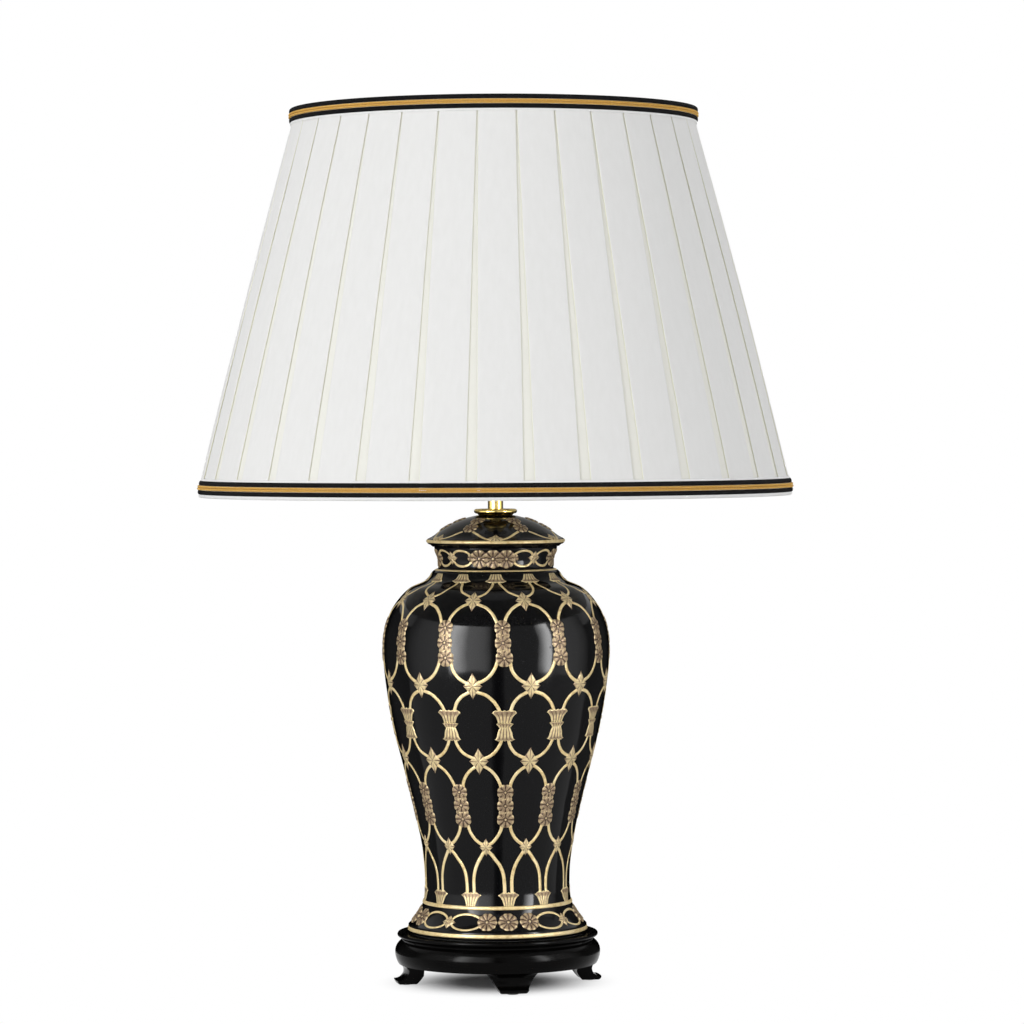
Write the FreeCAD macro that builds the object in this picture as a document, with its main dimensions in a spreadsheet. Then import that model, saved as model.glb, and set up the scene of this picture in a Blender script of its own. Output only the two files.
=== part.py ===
import FreeCAD, Part
import math
import os

import Sketcher

# Ginger jar lamp: a black glazed jar with its lid on a four-footed stand, a brass neck, a harp and
# a box-pleated empire shade. Millimetres, +Z up, the origin on the table under the middle of the
# stand, the front towards -Y. The jar, lid and neck are clamped on one hollow rod.

V = FreeCAD.Vector

SIZES = {
    # stand
    "pad_thickness": 1.0,
    "pad_diameter": 10.0,
    "pad_circle_radius": 79.4,
    "foot_count": 4,
    "foot_turn": 9,
    "foot_height": 16.4,
    "foot_top_width": 42.6,
    "foot_sole_width": 22.4,
    "foot_sole_round": 1.8,
    "foot_side_hollow": 0.5,
    "foot_heel_radius": 72.5,
    "foot_heel_bow": 1.6,
    "foot_waist_radius": 80.8,
    "foot_waist_height": 10.4,
    "foot_toe_radius": 88.9,
    "foot_toe_height": 3.2,
    "foot_toe_round": 0.6,
    "foot_sole_radius": 86.4,
    "apron_height": 19.6,
    "apron_inner_radius": 66.0,
    "apron_lower_radius": 85.0,
    "apron_bulge_radius": 87.8,
    "apron_bulge_height": 9.8,
    "groove_radius": 81.8,
    "board_rise": 6.4,
    "board_spigot": 3.0,
    "board_cove_radius": 84.6,
    "board_cove_hollow": 0.8,
    "board_lip_radius": 85.1,
    "board_lip_height": 3.2,
    "board_lip_nose": 0.9,
    "wood_fit": 0.3,
    # cord hole through the apron
    "cord_hole_turn": 135,
    "cord_bush_bore": 8.0,
    "cord_bush_wall": 1.6,
    "cord_bush_flange": 14.0,
    "cord_bush_flange_thickness": 1.6,
    "cord_bush_seat_radius": 86.4,
    "cord_bush_fit": 0.1,
    # threaded rod and what clamps on its lower end
    "rod_diameter": 9.6,
    "rod_bore": 6.6,
    "rod_clearance": 0.4,
    "rod_grip": 0.05,
    "rod_tail": 4.0,
    "rod_engagement": 6.8,
    "washer_diameter": 32.0,
    "washer_thickness": 1.6,
    "lock_washer_diameter": 17.0,
    "lock_washer_thickness": 1.8,
    "lock_washer_slot": 1.2,
    "nut_across_flats": 14.3,
    "nut_thickness": 4.5,
    # jar
    "gasket_inner_radius": 68.0,
    "gasket_outer_radius": 74.0,
    "gasket_thickness": 0.6,
    "foot_ring_radius": 76.2,
    "foot_ring_height": 6.6,
    "foot_ring_edge": 1.0,
    "foot_recess_radius": 66.0,
    "foot_recess_depth": 4.0,
    "foot_inner_radius": 64.0,
    "waist_low_radius": 61.8,
    "waist_low_height": 37.0,
    "waist_high_radius": 62.1,
    "waist_high_height": 58.0,
    "flank_radius": 81.4,
    "flank_height": 149.0,
    "flank_hollow": 4.1,
    "belly_radius": 97.0,
    "belly_height": 243.0,
    "upper_belly_radius": 91.5,
    "upper_belly_height": 270.5,
    "shoulder_radius": 79.0,
    "shoulder_height": 289.5,
    "shoulder_flat_radius": 66.0,
    "shoulder_flat_height": 297.2,
    "neck_foot_radius": 55.0,
    "neck_foot_height": 305.4,
    "neck_ring_rise": 3.8,
    "neck_ring_nose": 0.9,
    "neck_radius": 50.6,
    "neck_hollow": 1.5,
    "mouth_radius": 52.5,
    "mouth_lip": 2.1,
    "mouth_round": 1.05,
    "jar_height": 329.5,
    "jar_wall": 5.0,
    "jar_floor": 6.0,
    "rod_hole_diameter": 11.4,
    # lid
    "lid_dome_height": 27.2,
    "lid_dome_radius": 50.0,
    "lid_dome_edge_height": 11.4,
    "lid_dome_bow": 3.6,
    "lid_brim_radius": 57.7,
    "lid_brim_height": 6.6,
    "lid_brim_nose": 1.9,
    "lid_brim_hollow": 0.4,
    "lid_brim_bevel": 1.6,
    "lid_seat_radius": 54.4,
    "lid_collar_depth": 9.0,
    "lid_collar_wall": 4.5,
    "lid_inner_height": 11.5,
    "lid_inner_bow": 2.6,
    "lid_wall": 5.5,
    "lid_fit": 0.8,
    # brass neck
    "cap_sink": 0.7,
    "cap_height": 5.2,
    "cap_radius": 16.9,
    "cap_nose": 1.5,
    "cap_inner_nose": 0.9,
    "cap_cove": 0.3,
    "cap_edge_height": 1.4,
    "cap_seat_radius": 14.6,
    "cap_wall": 0.8,
    "sleeve_diameter": 13.0,
    "sleeve_length": 20.0,
    # harp, its saddle and ferrules
    "saddle_thickness": 1.6,
    "saddle_width": 10.0,
    "saddle_disc_diameter": 19.0,
    "saddle_reach": 24.0,
    "saddle_bend": 4.0,
    "saddle_shoulder": 9.0,
    "saddle_tongue": 7.0,
    "saddle_tongue_width": 5.0,
    "harp_wire": 4.0,
    "harp_gap": 0.3,
    "harp_leg": 27.0,
    "harp_side_reach": 62.0,
    "harp_side_height": 84.0,
    "harp_top_reach": 18.0,
    "harp_leg_bend": 14.0,
    "harp_side_bend": 60.0,
    "harp_top_bend": 18.0,
    "harp_seat_diameter": 14.0,
    "harp_seat_thickness": 5.0,
    "stud_diameter": 6.3,
    "stud_length": 9.0,
    "ferrule_bore": 6.0,
    "ferrule_wall": 1.0,
    "ferrule_length": 14.0,
    "ferrule_fit": 0.05,
    # finial
    "finial_fit": 0.1,
    "finial_lift": 0.15,
    "finial_base_radius": 6.5,
    "finial_base_height": 1.6,
    "finial_waist_radius": 4.1,
    "finial_waist_height": 8.0,
    "finial_ball_radius": 8.0,
    "finial_ball_height": 16.4,
    "finial_hole_depth": 7.0,
    # lampholder
    "holder_wall": 0.8,
    "holder_gap": 0.1,
    "hub_height": 7.0,
    "hub_radius": 6.8,
    "cup_radius": 16.8,
    "cup_knee": 12.5,
    "cup_height": 20.0,
    "cup_bow": 1.6,
    "shell_start": 13.5,
    "shell_end": 56.0,
    "shell_bead": 0.8,
    "shell_bead_height": 2.0,
    "liner_wall": 0.6,
    "liner_inset": 2.0,
    "insulator_start": 17.0,
    "insulator_end": 34.0,
    "screw_shell_radius": 13.2,
    "screw_shell_wall": 0.4,
    "contact_radius": 3.5,
    "contact_height": 2.2,
    "contact_clearance": 1.0,
    "terminal_reach": 7.0,
    "terminal_head_diameter": 6.0,
    "terminal_head_height": 2.2,
    "terminal_shank_diameter": 3.2,
    "terminal_shank_length": 6.0,
    # switch key
    "key_height": 27.0,
    "key_shaft_diameter": 4.0,
    "key_shaft_start": 5.0,
    "key_shaft_end": 31.0,
    "key_fit": 0.06,
    "key_hole_clearance": 0.5,
    "knob_start": 18.5,
    "knob_root_radius": 4.6,
    "knob_root_length": 5.0,
    "knob_length": 19.0,
    "knob_tip_width": 13.0,
    "knob_side_hollow": 0.8,
    "knob_tip_bow": 3.0,
    "knob_thickness": 5.4,
    # bulb
    "bulb_gap": 0.3,
    "bulb_radius": 30.0,
    "bulb_length": 104.0,
    "bulb_join_radius": 22.95,
    "bulb_join_height": 54.7,
    "bulb_neck_radius": 12.4,
    "bulb_neck_start": 14.0,
    "bulb_neck_height": 26.0,
    "bulb_glass_wall": 0.8,
    "bulb_cap_radius": 12.9,
    "bulb_cap_wall": 0.4,
    "bulb_cap_start": 6.0,
    "bulb_cap_end": 24.0,
    "bulb_cap_taper": 1.5,
    "bulb_plug_height": 10.0,
    "bulb_contact_radius": 4.6,
    "bulb_contact_height": 1.6,
    # shade cover
    "shade_bottom_height": 416.5,
    "shade_bottom_radius": 252.5,
    "shade_bottom_collar": 8.0,
    "shade_top_height": 745.6,
    "shade_top_radius": 173.0,
    "shade_top_collar": 14.6,
    "pleat_count": 34,
    "pleat_turn": 0.9,
    "pleat_depth": 1.6,
    "pleat_gap_bottom": 9.0,
    "pleat_gap_top": 1.0,
    "cover_thickness": 0.8,
    # shade frame, lining and trims
    "frame_wire": 2.5,
    "frame_fit": 0.15,
    "frame_inset": 0.35,
    "strut_count": 8,
    "strut_bend": 10.0,
    "lining_thickness": 0.6,
    "lining_fit": 0.1,
    "lining_start": 4.5,
    "lining_end": 5.5,
    "trim_width": 12.0,
    "trim_edge": 1.0,
    "trim_crown": 0.6,
    "trim_knee_crown": 1.4,
    "trim_fit": 0.05,
    "trim_bottom_start": 2.5,
    "trim_top_reach": 0.4,
    # spider, whose hub on top of the harp lies below the shade's upper edge
    "hub_recess": 29.2,
    "spider_hub_diameter": 22.0,
    "spider_hub_thickness": 3.2,
    "spider_fit": 0.1,
    "spider_lift": 0.1,
    "spider_wire": 3.0,
    "spider_arm_count": 3,
    "spider_arm_turn": 90,
    "spider_arm_level": 138.0,
    "spider_arm_shelf": 9.0,
    "spider_arm_bend": 12.0,
}

doc = FreeCAD.newDocument("GingerJarLamp")
sheet = doc.addObject("Spreadsheet::Sheet", "Sizes")
for row, (alias, number) in enumerate(SIZES.items(), start=1):
    sheet.set(f"A{row}", alias)
    sheet.set(f"B{row}", str(number))
    sheet.setAlias(f"B{row}", alias)
doc.recompute()


class Size:
    """A length known both as a number and as the expression that ties it to the sheet."""

    def __init__(self, value, text=None):
        self.value = float(value)
        self.text = text or repr(self.value)

    def __add__(self, other):
        other = as_size(other)
        return Size(self.value + other.value, f"({self.text} + {other.text})")

    def __sub__(self, other):
        other = as_size(other)
        return Size(self.value - other.value, f"({self.text} - {other.text})")

    def __mul__(self, other):
        other = as_size(other)
        return Size(self.value * other.value, f"({self.text} * {other.text})")

    def __truediv__(self, other):
        other = as_size(other)
        return Size(self.value / other.value, f"({self.text} / {other.text})")

    def __neg__(self):
        return self * -1


def as_size(number):
    return number if isinstance(number, Size) else Size(number)


def size(alias):
    """A named cell of the sheet."""
    return Size(sheet.get(alias), f"Sizes.{alias}")


def root(length):
    """The square root of a size."""
    return Size(math.sqrt(length.value), f"sqrt({length.text})")


ZERO = Size(0)


def bind(item, name, length):
    """Ties one property of an object to the sheet."""
    item.setExpression(name, as_size(length).text)


def new_body(label, height, turn=0, tipped=False):
    """An empty body that stands at a height, turned about the lamp's axis. A tipped body lies with
    its own axis pointing outwards, to the front before the turn."""
    body = doc.addObject("PartDesign::Body", label)
    body.Label = label
    rotation = FreeCAD.Rotation(V(0, 0, 1), turn)
    if tipped:
        rotation = rotation * FreeCAD.Rotation(V(1, 0, 0), 90)
    body.Placement = FreeCAD.Placement(V(0, 0, 0), rotation)
    bind(body, "Placement.Base.z", height)
    return body


def new_sketch(body, plane, offset=None):
    """An empty sketch on one of the body's own origin planes, moved along its normal if asked."""
    sketch = body.newObject("Sketcher::SketchObject", f"{body.Label}_{plane[:2]}")
    support = [item for item in body.Origin.OriginFeatures if item.Role == plane]
    sketch.AttachmentSupport = [(support[0], "")]
    sketch.MapMode = "FlatFace"
    if offset is not None:
        bind(sketch, "AttachmentOffset.Base.z", offset)
    return sketch


def add_rules(sketch, rules, lengths):
    """Adds constraints and ties those that carry a length to the sheet."""
    first = sketch.ConstraintCount
    sketch.addConstraint(rules)
    for number, length in lengths.items():
        sketch.setExpression(f"Constraints[{first + number}]", length.text)


def place_point(rules, lengths, curve, end, across, up):
    """Rules that put one point of a curve at a place given by two sizes."""
    for length, kind, axis in ((across, "DistanceX", -2), (up, "DistanceY", -1)):
        if length.text == ZERO.text:
            rules.append(Sketcher.Constraint("PointOnObject", curve, end, axis))
        else:
            rules.append(Sketcher.Constraint(kind, -1, 1, curve, end, length.value))
            lengths[len(rules) - 1] = length


def mirrored(direction, along):
    """The direction at the other end of an arc, from the one at this end and its chord."""
    return along * (2 * along.dot(direction)) - direction


def draw_outline(sketch, corners):
    """One closed loop in a sketch. Each corner is (across, up) for a straight run to it, or
    (across, up, form) for an arc. The form is a bow, the arc's rise to the left of its chord; or
    "crest_start" or "crest_end", upright at that end; "level_start" or "level_end", level at that
    end; or "tangent", which carries on from the run before."""
    count = len(corners)
    corners = [(as_size(c[0]), as_size(c[1])) + tuple(c[2:]) for c in corners]
    places = [V(c[0].value, c[1].value, 0) for c in corners]
    curves = []
    heading = V(0, 1, 0)
    for number, corner in enumerate(corners):
        start, end = places[number - 1], places[number]
        chord = end - start
        along = V(chord).normalize()
        if len(corner) == 2:
            curves.append(Part.LineSegment(start, end))
            heading = along
            continue
        form = corner[2]
        left = V(-along.y, along.x, 0)
        if isinstance(form, str):
            upright = V(0, math.copysign(1, chord.y), 0)
            level = V(math.copysign(1, chord.x), 0, 0)
            leave = {
                "tangent": heading,
                "crest_start": upright,
                "crest_end": mirrored(upright, along),
                "level_start": level,
                "level_end": mirrored(level, along),
            }[form]
            swing = 2 * math.atan2(leave.dot(left), leave.dot(along))
            bow = chord.Length / 2 * math.tan(swing / 4)
        else:
            bow = as_size(form).value
            swing = 4 * math.atan2(bow, chord.Length / 2)
        curves.append(Part.Arc(start, (start + end) * 0.5 + left * bow, end))
        heading = along * math.cos(swing / 2) - left * math.sin(swing / 2)
    first = sketch.GeometryCount
    sketch.addGeometry(curves, False)
    ends = []
    for number in range(count):
        forward = sketch.getPoint(first + number, 1).distanceToPoint(places[number - 1]) < 1e-6
        ends.append((1, 2) if forward else (2, 1))
    rules = []
    lengths = {}
    for number, corner in enumerate(corners):
        here, begin, end = first + number, ends[number][0], ends[number][1]
        following = (number + 1) % count
        smooth = corners[following][2:] == ("tangent",)
        joint = "Tangent" if smooth else "Coincident"
        rules.append(Sketcher.Constraint(joint, here, end, first + following, ends[following][0]))
        place_point(rules, lengths, here, end, corner[0], corner[1])
        if len(corner) == 2 or corner[2] == "tangent":
            continue
        if isinstance(corner[2], str):
            kind = "Horizontal" if corner[2].startswith("crest") else "Vertical"
            edge = begin if corner[2].endswith("start") else end
            rules.append(Sketcher.Constraint(kind, here, 3, here, edge))
            continue
        wide = corner[0] - corners[number - 1][0]
        tall = corner[1] - corners[number - 1][1]
        bow = as_size(corner[2])
        bow = bow if bow.value > 0 else -bow
        radius = (wide * wide + tall * tall + bow * bow * 4) / (bow * 8)
        rules.append(Sketcher.Constraint("Radius", here, radius.value))
        lengths[len(rules) - 1] = radius
    add_rules(sketch, rules, lengths)


def draw_circle(sketch, across, up, radius):
    """A full circle at a place given by two sizes."""
    across, up, radius = as_size(across), as_size(up), as_size(radius)
    circle = sketch.addGeometry(Part.Circle(V(across.value, up.value, 0), V(0, 0, 1), radius.value), False)
    rules = [Sketcher.Constraint("Radius", circle, radius.value)]
    lengths = {0: radius}
    place_point(rules, lengths, circle, 3, across, up)
    add_rules(sketch, rules, lengths)


def draw_path(sketch, places, bends):
    """An open run through the places, with a tangent arc of the given radius at each bend."""
    corners = [V(as_size(across).value, as_size(up).value, 0) for across, up in places]
    curves = []
    arc_starts = []
    start = corners[0]
    for corner, after, bend in zip(corners[1:], corners[2:], bends):
        toward = V(corner - start).normalize()
        away = V(after - corner).normalize()
        half_turn = toward.getAngle(away) / 2
        reach = bend.value * math.tan(half_turn)
        inward = V(away - toward).normalize()
        middle = corner + inward * (bend.value / math.cos(half_turn) - bend.value)
        arc_starts.append(corner - toward * reach)
        curves.append(Part.LineSegment(start, arc_starts[-1]))
        start = corner + away * reach
        curves.append(Part.Arc(arc_starts[-1], middle, start))
    curves.append(Part.LineSegment(start, corners[-1]))
    first = sketch.GeometryCount
    sketch.addGeometry(curves, False)
    rules = []
    lengths = {}
    for number, (place, bend) in enumerate(zip(places[1:], bends)):
        line, arc, line_after = (first + 2 * number + step for step in range(3))
        forward = sketch.getPoint(arc, 1).distanceToPoint(arc_starts[number]) < 1e-6
        begin, end = (1, 2) if forward else (2, 1)
        rules.append(Sketcher.Constraint("Tangent", line, 2, arc, begin))
        rules.append(Sketcher.Constraint("Tangent", arc, end, line_after, 1))
        rules.append(Sketcher.Constraint("Radius", arc, bend.value))
        lengths[len(rules) - 1] = bend
        corner = sketch.addGeometry(Part.Point(corners[number + 1]), True)
        place_point(rules, lengths, corner, 1, as_size(place[0]), as_size(place[1]))
        rules.append(Sketcher.Constraint("PointOnObject", corner, 1, line))
        rules.append(Sketcher.Constraint("PointOnObject", corner, 1, line_after))
    place_point(rules, lengths, first, 1, as_size(places[0][0]), as_size(places[0][1]))
    last = first + 2 * len(bends)
    place_point(rules, lengths, last, 2, as_size(places[-1][0]), as_size(places[-1][1]))
    add_rules(sketch, rules, lengths)


def revolve(body, sketch, kind="PartDesign::Revolution"):
    """Turns a sketch once round the body's axis, as material or as a groove."""
    feature = body.newObject(kind, f"{body.Label}_turned")
    feature.Profile = sketch
    feature.ReferenceAxis = (sketch, ["V_Axis"])
    feature.Angle = 360
    return feature


def turned(label, corners, height, turn=0, tipped=False):
    """A body of revolution from one outline of (radius, height) corners."""
    body = new_body(label, height, turn, tipped)
    sketch = new_sketch(body, "XZ_Plane")
    draw_outline(sketch, corners)
    revolve(body, sketch)
    return body


def tube(label, inner_radius, outer_radius, length, height):
    """A plain tube, washer or ring that stands at a height."""
    return turned(
        label,
        [(inner_radius, ZERO), (outer_radius, ZERO), (outer_radius, length), (inner_radius, length)],
        height,
    )


def wire_hoop(label, radius, wire_radius, height):
    """A round wire bent into a full hoop about the lamp's axis."""
    body = new_body(label, height)
    sketch = new_sketch(body, "XZ_Plane")
    draw_circle(sketch, radius, ZERO, wire_radius)
    revolve(body, sketch)
    return body


def extrude(body, sketch, length, both_ways=False, cut=False, along_normal=True):
    """Extrudes a sketch by a length, as material or as a cut."""
    feature = body.newObject("PartDesign::Pocket" if cut else "PartDesign::Pad", f"{body.Label}_run")
    feature.Profile = sketch
    if both_ways:
        feature.SideType = "Symmetric"
    feature.Reversed = along_normal if cut else not along_normal
    bind(feature, "Length", length)
    return feature


def sweep(body, section, path):
    """Sweeps a section along the visible edges of a path."""
    feature = body.newObject("PartDesign::AdditivePipe", f"{body.Label}_sweep")
    feature.Profile = section
    doc.recompute()
    feature.Spine = (path, [f"Edge{number + 1}" for number in range(len(path.Shape.Edges))])
    return feature


def repeat(body, feature, sketch, count):
    """Repeats a feature evenly round the normal of a sketch at the body's axis."""
    copies = body.newObject("PartDesign::PolarPattern", f"{body.Label}_round")
    copies.Originals = [feature]
    copies.Axis = (sketch, ["N_Axis"])
    copies.Angle = 360
    bind(copies, "Occurrences", count)
    body.Tip = copies
    return copies


# Heights of the seats, from the table up: each piece stands on the one before it.
apron_bottom = size("pad_thickness") + size("foot_height")
apron_top = apron_bottom + size("apron_height")
board_top = apron_top + size("board_rise")
board_bottom = apron_top - size("board_spigot")
jar_bottom = board_top + size("gasket_thickness")
jar_mouth = jar_bottom + size("jar_height")
lid_crown = jar_mouth + size("lid_dome_height")
cap_bottom = lid_crown - size("cap_sink")
cap_top = cap_bottom + size("cap_height")
sleeve_top = cap_top + size("sleeve_length")
holder_bottom = sleeve_top + size("saddle_thickness")
harp_top = size("shade_top_height") - size("hub_recess")
rod_radius = size("rod_diameter") / 2
rod_hole = rod_radius + size("rod_clearance")
rod_grip_radius = rod_radius + size("rod_grip")


def make_stand():
    """Turned board with a thin lip, bulged apron ring and four scrolled feet on felt pads."""
    spigot_radius = size("apron_inner_radius") - size("wood_fit")
    turned(
        "stand_top",
        [
            (rod_hole, -size("board_spigot")),
            (spigot_radius, -size("board_spigot")),
            (spigot_radius, ZERO),
            (size("groove_radius"), ZERO),
            (size("board_cove_radius"), size("board_lip_height"), size("board_cove_hollow")),
            (size("board_lip_radius"), size("board_rise"), -size("board_lip_nose")),
            (rod_hole, size("board_rise")),
        ],
        apron_top,
    )
    make_apron()
    for name, quarter in (("front", 0), ("right", 1), ("back", 2), ("left", 3)):
        make_foot(f"foot_{name}", SIZES["foot_turn"] + 360 / SIZES["foot_count"] * quarter)
    pads = new_body("foot_pads", ZERO, SIZES["foot_turn"])
    sketch = new_sketch(pads, "XY_Plane")
    draw_circle(sketch, ZERO, -size("pad_circle_radius"), size("pad_diameter") / 2)
    disc = extrude(pads, sketch, size("pad_thickness"))
    repeat(pads, disc, sketch, size("foot_count"))


def make_apron():
    """The bulged ring under the board, drilled between two feet for the cord, and its bush."""
    turn = SIZES["foot_turn"] + SIZES["cord_hole_turn"]
    bush_radius = size("cord_bush_bore") / 2 + size("cord_bush_wall")
    flange_radius = size("cord_bush_flange") / 2
    fit = size("cord_bush_fit")
    apron = turned(
        "stand_apron",
        [
            (size("apron_inner_radius"), ZERO),
            (size("apron_lower_radius"), ZERO),
            (size("apron_bulge_radius"), size("apron_bulge_height"), "crest_end"),
            (size("groove_radius"), size("apron_height"), "crest_start"),
            (size("apron_inner_radius"), size("apron_height")),
        ],
        apron_bottom,
        turn,
    )
    through = new_sketch(apron, "XZ_Plane")
    draw_circle(through, ZERO, size("apron_bulge_height"), bush_radius + fit)
    extrude(apron, through, size("apron_bulge_radius") + size("cord_bush_flange"), cut=True)
    counterbore = new_sketch(apron, "XZ_Plane", size("cord_bush_seat_radius"))
    draw_circle(counterbore, ZERO, size("apron_bulge_height"), flange_radius + fit)
    extrude(apron, counterbore, size("cord_bush_flange"), cut=True)
    turned(
        "cord_bush",
        [
            (size("cord_bush_bore") / 2, size("apron_inner_radius")),
            (bush_radius, size("apron_inner_radius")),
            (bush_radius, size("cord_bush_seat_radius")),
            (flange_radius, size("cord_bush_seat_radius")),
            (flange_radius, size("cord_bush_seat_radius") + size("cord_bush_flange_thickness")),
            (
                size("cord_bush_bore") / 2,
                size("cord_bush_seat_radius") + size("cord_bush_flange_thickness"),
            ),
        ],
        apron_bottom + size("apron_bulge_height"),
        turn,
        tipped=True,
    )


def make_foot(label, turn):
    """A foot that tapers to its sole between hollow sides, its face scooped in above the toe and
    its back swept outwards to the sole."""
    body = new_body(label, size("pad_thickness"), turn)
    front = new_sketch(body, "XZ_Plane", size("apron_inner_radius"))
    top, sole = size("foot_top_width") / 2, size("foot_sole_width") / 2
    draw_outline(
        front,
        [
            (sole, ZERO),
            (top, size("foot_height"), size("foot_side_hollow")),
            (-top, size("foot_height")),
            (-sole, ZERO, size("foot_side_hollow")),
        ],
    )
    block = extrude(body, front, size("foot_toe_radius") - size("apron_inner_radius"))
    doc.recompute()
    corners = []
    for number, edge in enumerate(block.Shape.Edges, start=1):
        ends = [vertex.Point for vertex in edge.Vertexes]
        across = abs(ends[0].y - ends[-1].y)
        if across > size("foot_toe_round").value and max(abs(point.z) for point in ends) < 1e-6:
            corners.append(f"Edge{number}")
    round_off = body.newObject("PartDesign::Fillet", f"{label}_round")
    round_off.Base = (block, corners)
    bind(round_off, "Radius", size("foot_sole_round"))
    scoop = new_sketch(body, "XZ_Plane")
    outside = size("foot_toe_radius") + size("foot_top_width")
    inside = size("apron_inner_radius") - size("foot_sole_width")
    draw_outline(
        scoop,
        [
            (outside, -size("pad_thickness")),
            (outside, size("foot_height") + size("pad_thickness")),
            (size("apron_lower_radius"), size("foot_height") + size("pad_thickness")),
            (size("apron_lower_radius"), size("foot_height")),
            (size("foot_waist_radius"), size("foot_waist_height"), "crest_end"),
            (size("foot_toe_radius"), size("foot_toe_height"), "crest_start"),
            (size("foot_sole_radius"), ZERO, size("foot_toe_round")),
            (size("foot_sole_radius"), -size("pad_thickness")),
        ],
    )
    draw_outline(
        scoop,
        [
            (inside, -size("pad_thickness")),
            (size("foot_heel_radius"), -size("pad_thickness")),
            (size("foot_heel_radius"), ZERO),
            (size("apron_inner_radius"), size("foot_height"), size("foot_heel_bow")),
            (inside, size("foot_height")),
        ],
    )
    revolve(body, scoop, "PartDesign::Groove")


def make_rod():
    """The hollow rod, with the washer, split washer and nut that clamp its lower end."""
    washer_bottom = board_bottom - size("washer_thickness")
    lock_bottom = washer_bottom - size("lock_washer_thickness")
    nut_bottom = lock_bottom - size("nut_thickness")
    rod_bottom = nut_bottom - size("rod_tail")
    rod_top = holder_bottom + size("rod_engagement")
    tube("centre_rod", size("rod_bore") / 2, rod_radius, rod_top - rod_bottom, rod_bottom)
    tube("base_washer", rod_hole, size("washer_diameter") / 2, size("washer_thickness"), washer_bottom)
    lock_radius = size("lock_washer_diameter") / 2
    lock = tube("lock_washer", rod_hole, lock_radius, size("lock_washer_thickness"), lock_bottom)
    slot = new_sketch(lock, "XY_Plane")
    half_slot = size("lock_washer_slot") / 2
    draw_outline(
        slot,
        [
            (half_slot, ZERO),
            (half_slot, size("lock_washer_diameter")),
            (-half_slot, size("lock_washer_diameter")),
            (-half_slot, ZERO),
        ],
    )
    extrude(lock, slot, size("lock_washer_thickness"), cut=True)
    nut = new_body("base_nut", nut_bottom)
    hexagon = new_sketch(nut, "XY_Plane")
    half = size("nut_across_flats") / 2
    corner = size("nut_across_flats") / root(Size(3))
    draw_outline(
        hexagon,
        [
            (half, corner / 2),
            (ZERO, corner),
            (-half, corner / 2),
            (-half, -corner / 2),
            (ZERO, -corner),
            (half, -corner / 2),
        ],
    )
    draw_circle(hexagon, ZERO, ZERO, rod_grip_radius)
    extrude(nut, hexagon, size("nut_thickness"))


def make_jar():
    """The jar: a hollow shell, flared at the foot, drawn in, full at the shoulder, with a short
    hollow neck above a fine ring. Its floor is bored for the rod and it stands on a rubber ring."""
    tube(
        "jar_gasket",
        size("gasket_inner_radius"),
        size("gasket_outer_radius"),
        size("gasket_thickness"),
        board_top,
    )
    wall = size("jar_wall")
    slant = wall * root(Size(0.5))
    hole = size("rod_hole_diameter") / 2
    floor = size("foot_recess_depth") + size("jar_floor")
    neck_bottom = size("neck_foot_height") + size("neck_ring_rise")
    turned(
        "jar_body",
        [
            (size("foot_ring_radius") - size("foot_ring_edge"), ZERO),
            (size("foot_ring_radius"), size("foot_ring_edge")),
            (size("foot_ring_radius"), size("foot_ring_height")),
            (size("waist_low_radius"), size("waist_low_height"), "crest_end"),
            (size("waist_high_radius"), size("waist_high_height"), "tangent"),
            (size("flank_radius"), size("flank_height"), "tangent"),
            (size("belly_radius"), size("belly_height"), "crest_end"),
            (size("upper_belly_radius"), size("upper_belly_height"), "crest_start"),
            (size("shoulder_radius"), size("shoulder_height"), "tangent"),
            (size("shoulder_flat_radius"), size("shoulder_flat_height"), "tangent"),
            (size("neck_foot_radius"), size("neck_foot_height"), "tangent"),
            (size("neck_radius") + size("neck_ring_nose"), neck_bottom, -size("neck_ring_nose")),
            (size("neck_radius"), neck_bottom),
            (size("mouth_radius"), size("jar_height") - size("mouth_lip"), size("neck_hollow")),
            (size("mouth_radius") - size("mouth_round"), size("jar_height"), "tangent"),
            (size("neck_radius") - wall, size("jar_height")),
            (size("neck_radius") - wall, size("neck_foot_height")),
            (size("shoulder_flat_radius") - wall, size("shoulder_height")),
            (size("shoulder_radius") - slant, size("shoulder_height") - slant),
            (size("belly_radius") - wall, size("belly_height"), "crest_end"),
            (size("flank_radius") - wall, size("flank_height"), "crest_start"),
            (size("waist_high_radius") - wall, size("waist_high_height"), -size("flank_hollow")),
            (size("waist_low_radius") - wall, size("waist_low_height")),
            (size("foot_inner_radius"), floor, "crest_start"),
            (hole, floor),
            (hole, size("foot_recess_depth")),
            (size("foot_recess_radius"), size("foot_recess_depth")),
            (size("foot_recess_radius"), ZERO),
        ],
        jar_bottom,
    )


def make_lid():
    """The domed lid with an overhanging brim; its collar drops inside the neck."""
    hole = size("rod_hole_diameter") / 2
    collar = size("neck_radius") - size("jar_wall") - size("lid_fit")
    inner = collar - size("lid_collar_wall")
    turned(
        "jar_lid",
        [
            (hole, size("lid_dome_height") - size("lid_wall")),
            (inner, size("lid_inner_height"), size("lid_inner_bow")),
            (inner, -size("lid_collar_depth")),
            (collar, -size("lid_collar_depth")),
            (collar, ZERO),
            (size("lid_seat_radius"), ZERO),
            (size("lid_seat_radius") + size("lid_brim_bevel"), size("lid_brim_bevel")),
            (size("lid_brim_radius"), size("lid_brim_height"), -size("lid_brim_nose")),
            (size("lid_dome_radius"), size("lid_dome_edge_height"), size("lid_brim_hollow")),
            (hole, size("lid_dome_height"), -size("lid_dome_bow")),
        ],
        jar_mouth,
    )


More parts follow.
